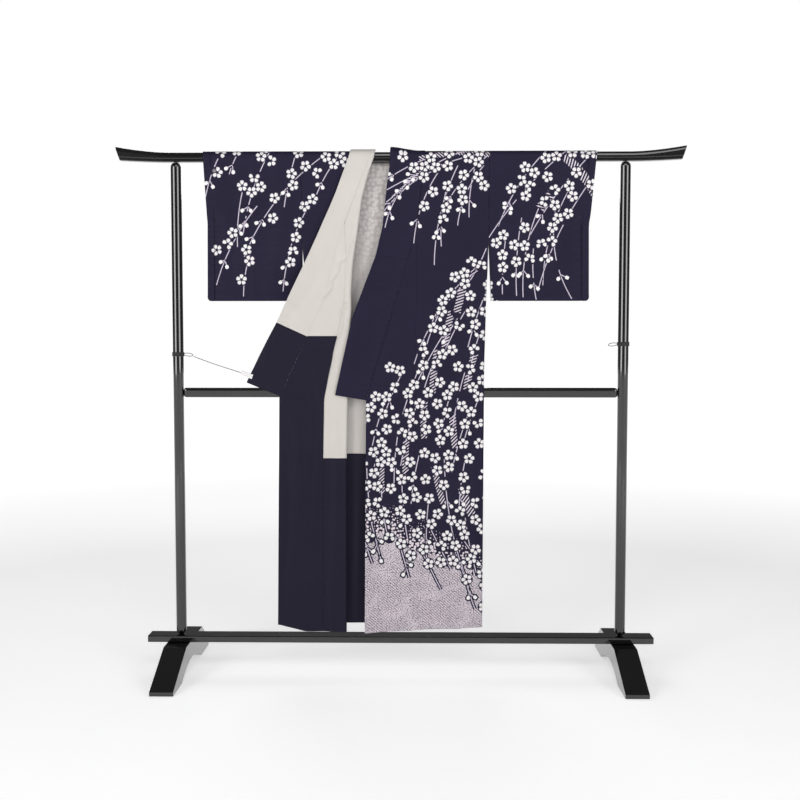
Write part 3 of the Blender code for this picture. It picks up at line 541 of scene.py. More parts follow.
silk, start, feed = finish("figured navy silk", {"Sheen Weight": 0.03, "Sheen Roughness": 0.4,
                                                 "Specular IOR Level": 0.10})
cut = start.node("Attribute", {"attribute_name": "cut"}, output=1)
cut_x, cut_fall, ground = cut.parts()
flat = start.node("CombineXYZ", inputs={0: cut_x, 1: cut_fall})
handwork = flat.noise(330.0, 1.0) - 0.5

across, up, luck = start.node("Attribute", {"attribute_name": "blossom"}, output=1).parts()
across, up = across + 0.16 * handwork, up + 0.16 * (flat.noise(290.0, 1.0) - 0.5)
radius = start.math("SQRT", across * across + up * up)
turn = start.math("ARCTAN2", up, across)
SECTOR = 2 * math.pi / PETALS
which = start.math("ROUND", turn / SECTOR)
angle = turn - which * SECTOR
along = radius * start.math("COSINE", angle)
beside = abs(radius * start.math("SINE", angle))
petal = (abs(along - PETAL_PLACE) / PETAL_LONG) ** 3 + (beside / PETAL_WIDE) ** 3
gap = 0.060 - radius * (SECTOR / 2 - abs(angle))
kept = 1 - (1 - luck.below(0.80, 0.01)) * (1 - which.below(1.5, 0.01))
petals = petal.below(1.0, 0.22).both(gap.below(0.0, 0.05)) * kept
mark = ((along - PETAL_PLACE) ** 2 + beside ** 2).below(0.0058, 0.004) * petals
fringe = petal.below(0.55, 0.7)
blossom_room = radius.below(1.12, 0.06)

bud_across, bud_up, bud_luck = start.node("Attribute", {"attribute_name": "bud"}, output=1).parts()
bud = abs(bud_across + 0.2 * handwork) ** 3 + abs(bud_up * 0.9) ** 3
buds = bud.below(1.0, 0.3)

line_across, line_along, line_left = start.node("Attribute", {"attribute_name": "line"},
                                                output=1).parts()
stitches = start.math("SINE", line_along * (2 * math.pi / 0.0052)) * 0.25
lines = abs(line_across + 0.0008 * handwork).below(LINE_HALF + 0.0004 * stitches, 0.0007)
lines = lines * (0.0 - line_left.both(line_along)).below(0.0, 0.001) * (1 - blossom_room) * (1 - buds)

hatch_across, hatch_along, hatch_left = start.node("Attribute", {"attribute_name": "hatching"},
                                                   output=1).parts()
slant = start.math("FRACT", (hatch_along + hatch_across * 0.0080) / HATCH_PITCH)
hatching = abs(slant - 0.5).below(0.21, 0.03) * abs(hatch_across + 0.7 * handwork).below(1.0, 0.08)
hatching = hatching * (0.0 - hatch_left).below(0.0, 0.001) * (1 - blossom_room)

dots = flat.node("TexVoronoi", {"voronoi_dimensions": "2D"},
                 {"Vector": flat, "Scale": 1 / DOT_PITCH, "Randomness": 0.75})
dots = (dots - 0.44 * (ground + 0.11).math("MULTIPLY", ground + 0.11, 11.0, clamp=True)).below(
    0.0, 0.06) * (0.0 - ground).below(0.11, 0.01)
ties = flat.node("TexVoronoi", {"voronoi_dimensions": "2D"},
                 {"Vector": flat, "Scale": 1 / GROUND_PITCH, "Randomness": 0.55})
diagonal = start.math("FRACT", (cut_fall - 0.85 * cut_x) / DIAGONAL_PITCH)
row_gap = abs(diagonal - 0.5).below(0.12, 0.06) * (flat.noise(16.0) - 0.55).below(0.0, 0.15)
tied_ground = ties.below(0.52, 0.16) * (1 - 0.70 * row_gap)
in_ground = (0.0 - ground).below(0.0, 0.004)
halo = abs(line_across + 0.0016 * handwork).below(0.0062, 0.0006) * (0.0 - line_left).below(0.0, 0.001)
halo = halo.either(blossom_room).either(bud.below(5.2, 0.5))
all_over = (in_ground * tied_ground).either(dots * (1 - in_ground)) * (1 - halo)

crepe_height = crepe(start, flat)
base = flat.noise(5.0, 3.0).mix(NAVY_DEEP, NAVY_PALE)
paint = all_over.mix(base, DOT_WHITE)
paint = hatching.mix(paint, HATCH_LILAC)
paint = lines.mix(paint, LILAC)
paint = petals.either(buds).mix(paint, fringe.either(buds).mix(FRINGE, WHITE))
feed("Base Color", mark.mix(paint, TIE_MARK))
damask = flat.node("TexWave", {"wave_type": "RINGS"}, {"Vector": flat, "Scale": 14.0,
                                                       "Distortion": 9.0, "Detail": 1.0})
feed("Roughness", 0.52 + 0.10 * damask + 0.10 * petals)
raised = petals * 0.5 + buds * 0.5 + all_over * 0.35 + lines * 0.2
feed("Normal", (raised * 1.4 + crepe_height * 0.35).bump(0.0009, 0.55))

plain_silk, start, feed = finish("plain navy lining silk", {"Sheen Weight": 0.02,
                                                            "Specular IOR Level": 0.10})
cut = start.node("Attribute", {"attribute_name": "cut"}, output=1)
cut_x, cut_fall, _ = cut.parts()
flat = start.node("CombineXYZ", inputs={0: cut_x, 1: cut_fall})
sheen = flat.node("Mapping", inputs={"Vector": flat, "Scale": (60.0, 4.0, 1.0)}).noise(1.0)
feed("Base Color", flat.noise(4.0, 3.0).mix(colour(0.0105, 0.0092, 0.0205),
                                            colour(0.0170, 0.0150, 0.0300)))
feed("Roughness", 0.42 + 0.16 * sheen)
feed("Normal", (crepe(start, flat) * 0.5).bump(0.0005, 0.5))


def lining_silk(name, pale, deep, shade_and_show_through):
    """Thin ivory silk. A last argument over 0 adds painted shade, darkest near the top of the cut,
    and sets how much the dyed pattern behind shows through as paler dots.
    """
    made, start, feed = finish(name, {"Sheen Weight": 0.10, "Specular IOR Level": 0.30})
    cut = start.node("Attribute", {"attribute_name": "cut"}, output=1)
    cut_x, cut_fall, _ = cut.parts()
    flat = start.node("CombineXYZ", inputs={0: cut_x, 1: cut_fall})
    warp = start.math("SINE", cut_x * (2 * math.pi / 0.0009))
    weft = start.math("SINE", cut_fall * (2 * math.pi / 0.0011))
    slub = flat.node("Mapping", inputs={"Vector": flat, "Scale": (8.0, 500.0, 1.0)}).noise(1.0)
    paint = (flat.noise(6.0, 3.0) * 0.7 + slub * 0.3).mix(deep, pale)
    if shade_and_show_through:
        # Painted shade: darker near the top of the cut, under the rail, and paler lower down
        paint = (1 - cut_fall.below(0.62, 0.75)).mix(paint, colour(0.600, 0.565, 0.535))
        # Paler dots where the tied pattern of the dyed cloth behind shows through
        tied = flat.node("TexVoronoi", {"voronoi_dimensions": "2D"},
                         {"Vector": flat, "Scale": 1 / 0.0135, "Randomness": 0.8})
        shade = tied.below(0.45, 0.22) * cut_fall.below(0.34, 0.30)
        paint = (shade * shade_and_show_through).mix(paint, colour(0.74, 0.70, 0.67))
    feed("Base Color", paint)
    feed("Roughness", 0.40 + 0.15 * slub)
    feed("Normal", (warp * weft * 0.25 + slub * 0.5).bump(0.0003, 0.5))
    return made


ivory_silk = lining_silk("ivory lining silk", colour(0.645, 0.610, 0.575),
                         colour(0.575, 0.540, 0.505), 0.0)
# Darker copy of the ivory lining for the back: painted shade, partly navy showing through
painted_shade_lining_silk = lining_silk("ivory lining silk in painted shade", colour(0.520, 0.480, 0.470),
                          colour(0.430, 0.395, 0.390), 0.6)


# ---- Body panels -------------------------------------------------------------------------------
# Each body panel is one length of silk from the back hem over the shoulder to the front hem, slit
# at the neck. The right one is folded back on itself down the front, and shows its lining there.
RIDGE_RADIUS, TURN_Z = 0.0175, 1.7195
QUARTER = RIDGE_RADIUS * math.pi / 2
SWING_START, SWING_RUN = 0.030, 0.720
FRONT_SWING, BACK_SWING = 0.0165, 0.0345
CENTRE_X, NECK_DEPTH, SEAM = -0.015, 0.040, 0.00012
CLOTH, LINING = 0.0012, 0.0008
LAYER = 0.0016
SIDE_OPENING_END, SIDE_TURN, SIDE_MEET = 0.420, 0.016, 0.0009
TURNED, RIDGE_TURNED = 0.0130, 0.0045
LAP, COLLAR_STAND = 0.0240, 0.0120
GRID_STEP = 0.0065
HEM_FALL, HEM_START = 1.600, 1.000
BACK_HEM_Z = 0.1650
LINING_END, BACK_LINING_END = 1.024, 1.007
PRESSED_EDGE, PRESSED_REACH, CREASE_DEPTH = 0.0005, 0.0022, 1.5
EASED = (-0.008, -0.004, 0, 0.004, 0.008)
PANEL_WIDTH, BLANK_COLUMNS, TURNED_CUT = 0.21, 14, 0.9
LEFT_FOLD, LEFT_FOLD_PITCH, LEFT_FOLD_SHIFT = 0.0035, 0.155, 0.1
TURNED_SWING, TURNED_FOLD, TURNED_FOLD_PITCH = 0.012, 0.002, 0.11
BACK_FOLD, BACK_FOLD_PITCH = 0.003, 0.19
# Where each shape of the drape starts and is complete, across the cloth in x or down it in fall
LAP_ACROSS, LAP_DOWN, LAP_EASING, LAP_EASED = (0.02, -0.15), (0.277, 0.497), (0.83, 1.33), 0.5
STAND_ACROSS, STAND_DOWN = (0.06, -0.03), (0.0, 0.085)
SWING_ACROSS, SWING_DOWN, TURNED_DOWN = (-0.22, -0.47), (0.15, 0.65), (0.0, 0.12)
LEFT_FOLD_DOWN, TURNED_FOLD_DOWN, BACK_FOLD_DOWN = (0.6, 1.3), (0.7, 1.3), (0.5, 1.3)
# Seams, folds and hems as rows of (fall, x), and hems as rows of (x, z)
LEFT_SIDE = ((0, 0.2915), (0.3055, 0.2915), (0.420, 0.2875), (0.497, 0.2845), (0.707, 0.2785),
             (1.024, 0.2775), (1.62, 0.2755))
LEFT_FRONT_SEAM = ((0, 0.0838), (0.0275, 0.0822), (0.097, 0.0742), (0.167, 0.0655),
                   (0.247, 0.0555), (0.497, 0.0540), (0.8285, 0.0485), (1.62, 0.0454))
RIGHT_SIDE = ((0, -0.3225), (0.3055, -0.3225), (0.420, -0.3130), (0.497, -0.3100),
              (0.707, -0.3060), (1.024, -0.3040), (1.62, -0.3020))
RIGHT_FOLD = ((0, -0.0810), (0.0275, -0.0855), (0.082, -0.1038), (0.167, -0.1259),
              (0.247, -0.1368), (0.385, -0.1568), (0.472, -0.1617), (0.542, -0.1605),
              (0.825, -0.1736), (1.024, -0.1775), (1.62, -0.1792))
RIGHT_FRONT_SEAM = ((0, -0.0905), (0.0275, -0.0965), (0.082, -0.1185), (0.167, -0.1510),
                    (0.247, -0.1815), (0.385, -0.1765), (0.472, -0.1800), (0.542, -0.1880),
                    (0.673, -0.2188), (0.825, -0.2491), (1.024, -0.2533), (1.62, -0.2558))
LEFT_HEM = ((-0.1174, 0.1364), (0.0443, 0.1459), (0.2755, 0.1555))
TURNED_HEM = ((-0.4060, 0.1700), (-0.3157, 0.1458), (-0.1787, 0.1424))
# Creases, each from one end to the other, with how wide it is and how far it stands out
Crease = namedtuple("Crease", "x fall end_x end_fall width height")
LEFT_CREASES = (
    (0.068, 0.408, 0.279, 0.407, 0.006, 0.0016), (0.060, 0.100, 0.063, 0.520, 0.010, 0.0018),
    (0.170, 0.060, 0.182, 0.330, 0.028, -0.0016), (0.235, 0.480, 0.222, 1.060, 0.022, 0.0028),
    (0.130, 0.620, 0.118, 1.400, 0.020, -0.0026), (-0.020, 0.700, -0.036, 1.480, 0.018, 0.0028),
    (0.180, 1.100, 0.196, 1.600, 0.016, 0.0028), (0.060, 1.020, 0.052, 1.600, 0.014, 0.0022),
    (-0.075, 0.930, -0.085, 1.600, 0.014, -0.0022), (0.000, 0.300, -0.090, 0.640, 0.020, 0.0018),
    (-0.120, 0.818, 0.279, 0.822, 0.005, 0.0010),
)
TURNED_CREASES = (
    (-0.150, 0.252, -0.167, 0.342, 0.008, -0.0034), (-0.167, 0.342, -0.203, 0.384, 0.007, -0.0028),
    (-0.203, 0.384, -0.224, 0.444, 0.008, -0.0032), (-0.224, 0.444, -0.246, 0.493, 0.008, -0.0030),
    (-0.178, 0.500, -0.187, 0.543, 0.006, -0.0040), (-0.187, 0.543, -0.220, 0.675, 0.007, -0.0044),
    (-0.220, 0.675, -0.243, 0.770, 0.007, -0.0036), (-0.175, 0.080, -0.260, 0.340, 0.016, 0.0024),
    (-0.240, 0.330, -0.330, 0.560, 0.018, 0.0028), (-0.205, 0.330, -0.290, 0.590, 0.014, -0.0024),
    (-0.350, 0.500, -0.440, 0.720, 0.020, 0.0026), (-0.340, 0.880, -0.352, 1.560, 0.022, 0.0032),
    (-0.290, 0.760, -0.300, 1.300, 0.016, -0.0028), (-0.215, 0.830, -0.218, 1.580, 0.013, 0.0024),
    (-0.380, 1.000, -0.385, 1.590, 0.014, -0.0022), (-0.400, 0.830, -0.180, 0.836, 0.005, 0.0010),
)
BACK_CREASES = (
    (-0.220, 0.100, -0.205, 0.700, 0.026, 0.0026), (-0.130, 0.500, -0.140, 1.540, 0.022, -0.0030),
    (0.110, 0.300, 0.095, 1.200, 0.024, 0.0030), (0.200, 0.700, 0.212, 1.570, 0.020, -0.0026),
    (-0.250, 0.900, -0.245, 1.570, 0.018, 0.0026), (0.030, 0.900, 0.038, 1.560, 0.016, 0.0022),
    (-0.320, 0.410, 0.290, 0.412, 0.005, 0.0012), (-0.310, 0.822, 0.280, 0.824, 0.005, 0.0010),
)


def ramp(value, span):
    """0 at the span's first value and 1 from its second on, whichever way it runs."""
    return smooth((value - span[0]) / (span[1] - span[0]))


def read(table, at):
    """A table of (at, value) rows, its corners eased over a few centimetres."""
    places, values = np.array(table, float).T
    return sum(np.interp(at + shift, places, values) for shift in EASED) / len(EASED)


def drape_y(fall, side):
    """The body hangs in front of the middle rail, so the back swings forward under the top one."""
    swing = smooth((fall - SWING_START) / SWING_RUN)
    if side == FRONT:
        return -RIDGE_RADIUS - FRONT_SWING * swing
    return RIDGE_RADIUS - BACK_SWING * swing


def on_drape(x, fall, out, side):
    """Points on the drape over the rail, as an array that ends in x, y, z."""
    x, fall, out = np.broadcast_arrays(x, fall, out)
    turn = np.clip(fall, 0, QUARTER) / RIDGE_RADIUS
    reach = RIDGE_RADIUS + out
    down = np.maximum(fall - QUARTER, 0)
    y = np.where(fall < QUARTER, side * reach * np.sin(turn), drape_y(fall, side) + side * out)
    return np.stack([x, y, TURN_Z + reach * np.cos(turn) * (fall < QUARTER) - down], axis=-1)


def hem_adjusted(fall, x, hem):
    """Rows shifted over the lower half so that the last one lies along the hem."""
    hem_fall = QUARTER + TURN_Z - read(hem, x)
    return fall + (hem_fall - HEM_FALL) * smooth((fall - HEM_START) / (HEM_FALL - HEM_START))


def creased(x, fall, creases):
    """How far the creases stand out at each point. Each one dies away towards its ends."""
    total = np.zeros(np.broadcast(x, fall).shape)
    for crease in map(Crease._make, creases):
        run_x, run_fall = crease.end_x - crease.x, crease.end_fall - crease.fall
        length = math.hypot(run_x, run_fall)
        share = ((x - crease.x) * run_x + (fall - crease.fall) * run_fall) / length ** 2
        apart = ((x - crease.x) * run_fall - (fall - crease.fall) * run_x) / length
        bow = crease.width * 0.6 * np.sin(share * 5.0)
        ends = smooth((share + 0.12) / 0.24) * smooth((1.12 - share) / 0.24)
        total += crease.height * ends * np.exp(-((apart - bow) / crease.width) ** 2)
    return total * CREASE_DEPTH * smooth(fall / 0.06)


def left_out(x, fall):
    """The left front laps over the turned right one, and its collar stands up at the neck."""
    lap = LAP * ramp(x, LAP_ACROSS) * ramp(fall, LAP_DOWN)
    ease = 1 - LAP_EASED * ramp(fall, LAP_EASING)
    stand = COLLAR_STAND * ramp(x, STAND_ACROSS) * (1 - ramp(fall, STAND_DOWN))
    wave = np.sin(2 * np.pi * (x / LEFT_FOLD_PITCH + LEFT_FOLD_SHIFT))
    folds = LEFT_FOLD * wave * ramp(fall, LEFT_FOLD_DOWN)
    return lap * ease + stand + folds + creased(x, fall, LEFT_CREASES)


def turned_out(x, fall):
    """The turned part lies close over the rail, then stands off, and the tie swings it out."""
    stand = RIDGE_TURNED + (TURNED - RIDGE_TURNED) * ramp(fall, TURNED_DOWN)
    swing = TURNED_SWING * ramp(x, SWING_ACROSS) * ramp(fall, SWING_DOWN)
    wave = np.sin(2 * np.pi * (x / TURNED_FOLD_PITCH))
    folds = TURNED_FOLD * wave * ramp(fall, TURNED_FOLD_DOWN)
    return stand + swing + folds + creased(x, fall, TURNED_CREASES)


def back_out(x, fall):
    """The back falls in long shallow folds from the waist down."""
    wave = 1 + np.sin(2 * np.pi * (x / BACK_FOLD_PITCH))
    waves = BACK_FOLD * wave * ramp(fall, BACK_FOLD_DOWN)
    return waves + creased(x, fall, BACK_CREASES)


def shares(width):
    """Columns across a width, as shares of it, with two close to each edge for its pressed seam."""
    count = max(4, int(width / GRID_STEP))
    plain = np.linspace(0, 1, count + 1)
    close = np.array([0.0015, 0.0035]) / width
    return np.unique(np.concatenate([plain[:1], close, plain[1:-1], 1 - close, plain[-1:]]))


def falls(start, end):
    return np.linspace(start, end, max(3, int((end - start) / GRID_STEP)) + 1)


def pressed(share, width):
    """How far a panel sinks along its two sewn edges."""
    edge = np.minimum(share, 1 - share) * width
    return -PRESSED_EDGE * np.exp(-(edge / PRESSED_REACH) ** 2)


def side_closed(points, fall, part, side):
    """Columns near a side seam, where `part` is under 1, brought to the middle below its opening."""
    closing = smooth((fall - SIDE_OPENING_END + 0.04) / 0.08)
    middle = (drape_y(fall, FRONT) + drape_y(fall, BACK)) / 2
    reach = np.abs(points[..., 1] - middle) * (1 - closing * (1 - part))
    points[..., 1] = np.where(part < 1, middle + side * np.maximum(reach, SIDE_MEET),
                              points[..., 1])
    return points


def nearest_marks(drawing, centres, cut, scale_of):
    """Each face's nearest mark, and its corners' places in that mark's own directions."""
    columns = {}
    for name, tree, marks, far in (("blossom", drawing.trees[0], drawing.blossoms, 0.034),
                                   ("bud", drawing.trees[1], drawing.buds, 0.020),
                                   ("line", drawing.trees[2], drawing.lines, 0.016),
                                   ("hatching", drawing.trees[3], drawing.hatching, 0.030)):
        found = np.full(len(centres), -1)
        for face, (x, fall) in enumerate(centres):
            _, index, distance = tree.find((x, fall, 0.0))
            if distance < far:
                found[face] = index
        rows = np.array(marks, float)[found]
        dx, df = cut[..., 0] - rows[:, None, 0], cut[..., 1] - rows[:, None, 1]
        if name in ("blossom", "bud"):
            cosine, sine = np.cos(rows[:, None, 2]), np.sin(rows[:, None, 2])
            size = scale_of[name]
            values = [(dx * cosine + df * sine) / size, (df * cosine - dx * sine) / size,
                      np.broadcast_to(rows[:, None, 3], dx.shape)]
        else:
            ahead = dx * rows[:, None, 2] + df * rows[:, None, 3]
            aside = dx * rows[:, None, 3] - df * rows[:, None, 2]
            values = [aside, rows[:, None, 4] + ahead, rows[:, None, 5] - ahead]
            if name == "hatching":
                values[0] = aside / rows[:, None, 6]
        values = np.stack(values, axis=-1)
        values[found < 0] = (9.0, 9.0, -9.0)
        columns[name] = values
    return columns


def cloth(name, points, cut, side, wall, material, keep=None, closed=False, figured=False):
    """A sheet of cloth through a grid of points, carrying the measures its material draws by."""
    rows, columns = points.shape[:2]
    index = np.arange(rows * columns).reshape(rows, columns)
    if closed:
        index = np.concatenate([index, index[:, :1]], axis=1)
    quads = np.stack([index[:-1, :-1], index[:-1, 1:], index[1:, 1:], index[1:, :-1]], axis=-1)
    if keep is not None:
        quads = quads[keep]
    quads = quads.reshape(-1, 4)
    used, compact = np.unique(quads, return_inverse=True)
    quads = compact.reshape(-1, 4)
    mesh = bpy.data.meshes.new(name)
    mesh.from_pydata(points.reshape(-1, 3)[used].tolist(), [], quads.tolist())
    flat_cut = cut.reshape(-1, 2)[used][quads]
    sides = np.broadcast_to(side, (rows, columns)).reshape(-1)[used][quads][:, 0]
    depth = np.full(flat_cut.shape[:2], -9.0)
    marks = {}
    for face in (FRONT, BACK):
        here = sides == face
        if not figured or not here.any():
            continue
        depth[here] = ground_depth(flat_cut[here][..., 0], flat_cut[here][..., 1], face)
        found = nearest_marks(drawings[face], flat_cut[here].mean(axis=1), flat_cut[here],
                              {"blossom": BLOSSOM, "bud": BUD})
        for kind, values in found.items():
            marks.setdefault(kind, np.full((len(quads), 4, 3), 9.0))[here] = values
    marks["cut"] = np.concatenate([flat_cut, depth[..., None]], axis=-1)
    for kind, values in marks.items():
        attribute = mesh.attributes.new(kind, "FLOAT_VECTOR", "CORNER")
        attribute.data.foreach_set("vector", values.astype(np.float32).ravel())
    grid_row, grid_column = np.divmod(used, columns)
    flat_map = np.stack([grid_column / columns, grid_row / (rows - 1)], axis=-1)[quads]
    wraps = flat_map[..., 0].max(axis=1) - flat_map[..., 0].min(axis=1) > 0.5
    flat_map[..., 0] += (wraps[:, None] & (flat_map[..., 0] < 0.5)).astype(float)
    mesh.uv_layers.new(name="OFBake").data.foreach_set(
        "uv", (flat_map * 0.98 + 0.01).clip(0, 1).astype(np.float32).ravel())
    mesh.shade_smooth()
    mesh.materials.append(material)
    made = bpy.data.objects.new(name, mesh)
    bpy.context.scene.collection.objects.link(made)
    shell = made.modifiers.new("wall", "SOLIDIFY")
    shell.thickness, shell.offset = wall, 0.0
    return made


def moved(points, distance):
    """The same points moved along the normal, which is +Y where columns run towards +X."""
    across, down = np.gradient(points, axis=1), np.gradient(points, axis=0)
    normal = np.cross(across, down)
    return points + distance * normal / np.linalg.norm(normal, axis=-1, keepdims=True)


def placed(piece, nodes, slot, flat, area=None):
    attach(piece, "root")
    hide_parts(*nodes)


def body_columns(side_x, inner_x, share, toward):
    """x and part of the columns from an inner edge to a side seam, turning at the seam."""
    flat_end = side_x - toward * SIDE_TURN
    plain = inner_x + (flat_end - inner_x) * share
    turns = np.radians((75, 60, 45, 30, 15, 0))
    turned = side_x - toward * SIDE_TURN * (1 - np.cos(turns))
    turned = np.broadcast_to(turned, (*plain.shape[:-1], len(turns)))
    part = np.concatenate([np.ones(share.shape[-1]), np.sin(turns)])
    return np.concatenate([plain, turned], axis=-1), part


def body_panel(name, toward, side_table, neck_x, front_rows):
    """The whole panel, back hem to front hem. front_rows gives the front's inner columns."""
    share = shares(PANEL_WIDTH)
    down_back, down_front = falls(0, QUARTER + TURN_Z - BACK_HEM_Z), falls(0, HEM_FALL)
    inner, main_start, main_fall_of, front_out = front_rows(down_front[:, None])
    extra = inner[0].shape[1]
    centre = CENTRE_X + toward * SEAM

    fall = down_back[1:][::-1, None]
    start = neck_x + (main_start[0] - neck_x) * (1 - smooth(fall / NECK_DEPTH))
    x, part = body_columns(read(side_table, fall), start, share, toward)
    x = np.concatenate([centre + (start - centre) * np.linspace(0, 1, extra + 1)[:-1], x], axis=1)
    part_back = np.concatenate([np.ones(extra), part])
    sink = -PRESSED_EDGE * np.exp(-((x - centre) / PRESSED_REACH) ** 2)
    back = side_closed(on_drape(x, fall, back_out(x, fall) + sink, BACK),
                       np.broadcast_to(fall, x.shape), part_back, BACK)
    back_cut = np.stack([x, np.broadcast_to(fall, x.shape)], axis=-1)

    x, part = body_columns(read(side_table, down_front[:, None]), main_start, share, toward)
    fall = main_fall_of(x, down_front[:, None])
    front = side_closed(on_drape(x, fall, front_out(x, fall), FRONT), fall, part, FRONT)
    front = np.concatenate([inner[0], front], axis=1)
    front_cut = np.concatenate([inner[1], np.stack([x, fall], axis=-1)], axis=1)

    points, cut = np.concatenate([back, front]), np.concatenate([back_cut, front_cut])
    rows, columns = points.shape[:2]
    side = np.where(np.arange(rows) < len(back), BACK, FRONT)[:, None]
    keep = np.ones((rows - 1, columns - 1), bool)
    keep[:len(back), :extra] = down_back[1:][::-1, None] > NECK_DEPTH
    keep[len(back) - 1, :extra] = False
    if not front_rows.turned:
        keep[len(back):, :extra] = False
    return cloth(name, points, cut, side, CLOTH, silk, keep, figured=True), points, len(back), extra


class LeftFront:
    """The left front has nothing inside its neck edge and collar seam."""
    turned = False

    def __call__(self, fall):
        seam = read(LEFT_FRONT_SEAM, fall) + SEAM
        blank = np.repeat(on_drape(seam, fall, 0.0, FRONT), BLANK_COLUMNS, axis=1)
        cut = np.repeat(np.stack([seam, fall], axis=-1), BLANK_COLUMNS, axis=1)
        return ((blank, cut), seam, lambda x, at: hem_adjusted(at, x, LEFT_HEM),
                lambda x, at: left_out(x, at)
                - PRESSED_EDGE * np.exp(-((x - read(LEFT_FRONT_SEAM, at)) / PRESSED_REACH) ** 2))


class RightFront:
    """The right front goes round its fold and back over itself to the overlap's seam."""
    turned = True

    def __call__(self, fall):
        fold, seam = read(RIGHT_FOLD, fall), read(RIGHT_FRONT_SEAM, fall) + SEAM
        radius = turned_out(fold - TURNED / 2, fall) / 2
        share = np.linspace(1, 0, 12)[:-1]
        x = fold - radius + (seam - fold + radius) * share
        at = hem_adjusted(fall, x, TURNED_HEM)
        turned = on_drape(x, at, turned_out(x, at), FRONT)
        angles = np.radians((180, 157.5, 135, 112.5, 90, 67.5, 45, 22.5))
        at_fold = hem_adjusted(fall, fold, TURNED_HEM)
        round_x = fold - radius + radius * np.sin(angles)
        rolled = on_drape(round_x, at_fold, radius * (1 - np.cos(angles)), FRONT)
        cut_x = np.concatenate([2 * fold - x + TURNED_CUT, np.broadcast_to(round_x, rolled.shape[:2])], 1)
        cut_fall = np.concatenate([at, np.broadcast_to(at_fold, rolled.shape[:2])], axis=1)
        return ((np.concatenate([turned, rolled], axis=1), np.stack([cut_x, cut_fall], axis=-1)),
                fold - radius, lambda x, at: hem_adjusted(at, x, TURNED_HEM),
                lambda x, at: creased(x, at, LEFT_CREASES[2:4]))


left_body, left_points, _, _ = body_panel("left_body_panel", 1, LEFT_SIDE, 0.0844, LeftFront())
placed(left_body, ("left_front", "left_back"), "navy_silk", (0.310, 3.190))
right_body, right_points, right_back_rows, right_extra = body_panel(
    "right_body_panel", -1, RIGHT_SIDE, -0.0850, RightFront())
placed(right_body, ("right_front", "right_back"), "navy_silk", (0.310, 3.190))


# ---- Overlap panels ----------------------------------------------------------------------------
# A narrow panel sewn to each front edge, tapering to a point at the collar. The left one laps
# over the middle; the right one is turned out with its panel.
OKUMI_POINT, LEAST_WIDTH, OKUMI_PRESSED = 0.247, 0.001, 0.10
# The cut of a plain piece is read this far off the drawing
PLAIN_CUT = 1.2
LEFT_OKUMI_EDGE = ((0.247, 0.0555), (0.375, 0.0230), (0.8285, -0.1109), (1.62, -0.1172))
RIGHT_OKUMI_EDGE = ((0.247, -0.1825), (0.324, -0.2085), (0.4085, -0.2275), (0.4933, -0.2470),
                    (0.6012, -0.2955), (0.6537, -0.3195), (0.815, -0.3962), (1.62, -0.4060))


def strip(edge, seam, edge_fall, seam_fall, out, share, hem=None):
    """Points and cut between an edge and a seam, from their x and fall down the rows."""
    x = edge[:, None] + (seam - edge)[:, None] * share
    fall = edge_fall[:, None] + (seam_fall - edge_fall)[:, None] * share
    if hem is not None:
        fall = hem_adjusted(fall, x, hem)
    return on_drape(x, fall, out(x, fall), FRONT), np.stack([x, fall], axis=-1)


down = falls(OKUMI_POINT, HEM_FALL)
share = shares(0.160)
left_seam = read(LEFT_FRONT_SEAM, down)
left_edge = np.minimum(read(LEFT_OKUMI_EDGE, down), left_seam - LEAST_WIDTH)
points, cut = strip(left_edge, left_seam - SEAM, down, down, left_out, share, LEFT_HEM)
points[..., 1] -= pressed(share, OKUMI_PRESSED)
left_okumi = cloth("left_overlap_panel", points, cut, FRONT, CLOTH, silk, figured=True)
placed(left_okumi, ("left_okumi",), "navy_silk", (0.165, 1.360), area=0.170)

turned_seam = read(RIGHT_FRONT_SEAM, down) - SEAM
turned_edge = np.minimum(read(RIGHT_OKUMI_EDGE, down), turned_seam - LEAST_WIDTH)
turned_overlap, turned_cut = strip(turned_edge, turned_seam, down, down, turned_out, share,
                                   TURNED_HEM)
right_okumi = cloth("right_overlap_panel", turned_overlap, turned_cut + PLAIN_CUT, FRONT, CLOTH, silk)
placed(right_okumi, ("right_okumi",), "navy_silk", (0.165, 1.360), area=0.150)


# ---- Linings of the turned-out front -----------------------------------------------------------
# Ivory silk down to about knee height and navy silk below, sewn edge to edge. They lie on the
# inside of the right front and of its overlap panel, which here face outwards.
RIGHT_OKUMI_LINING_END = 0.615


def lining(name, points, cut, at_row, nodes, flats, pale=ivory_silk):
    """Ivory down to a row of the grid and navy below it, each with its own edge at the join."""
    for part, rows in enumerate((slice(0, at_row + 1), slice(at_row, None))):
        layer = points[rows].copy()
        if part == 1:
            layer[0] += 0.03 * (layer[1] - layer[0])
        made = cloth(name + ("_ivory", "_navy")[part], layer, cut[rows], FRONT, LINING,
                     (pale, plain_silk)[part])
        placed(made, (nodes[part],), ("ivory_lining", "navy_lining")[part], flats[part][:2],
               area=flats[part][2])


front_rows = right_points[right_back_rows:, :right_extra - 3]
front_cut = np.stack([front_rows[..., 0], TURN_Z + QUARTER - front_rows[..., 2]], axis=-1)
lining("right_front_lining", moved(front_rows, -LAYER), front_cut,
       int(LINING_END / HEM_FALL * (len(front_rows) - 1)),
       ("right_front_lining", "right_front_hem_lining"),
       ((0.090, 1.030, 0.045), (0.090, 0.580, 0.040)))
lining("right_overlap_lining", moved(turned_overlap, -LAYER), turned_cut,
       int(np.searchsorted(down, RIGHT_OKUMI_LINING_END)),
       ("right_okumi_lining", "right_okumi_hem_lining"),
       ((0.110, 0.370, 0.017), (0.165, 0.990, 0.140)))

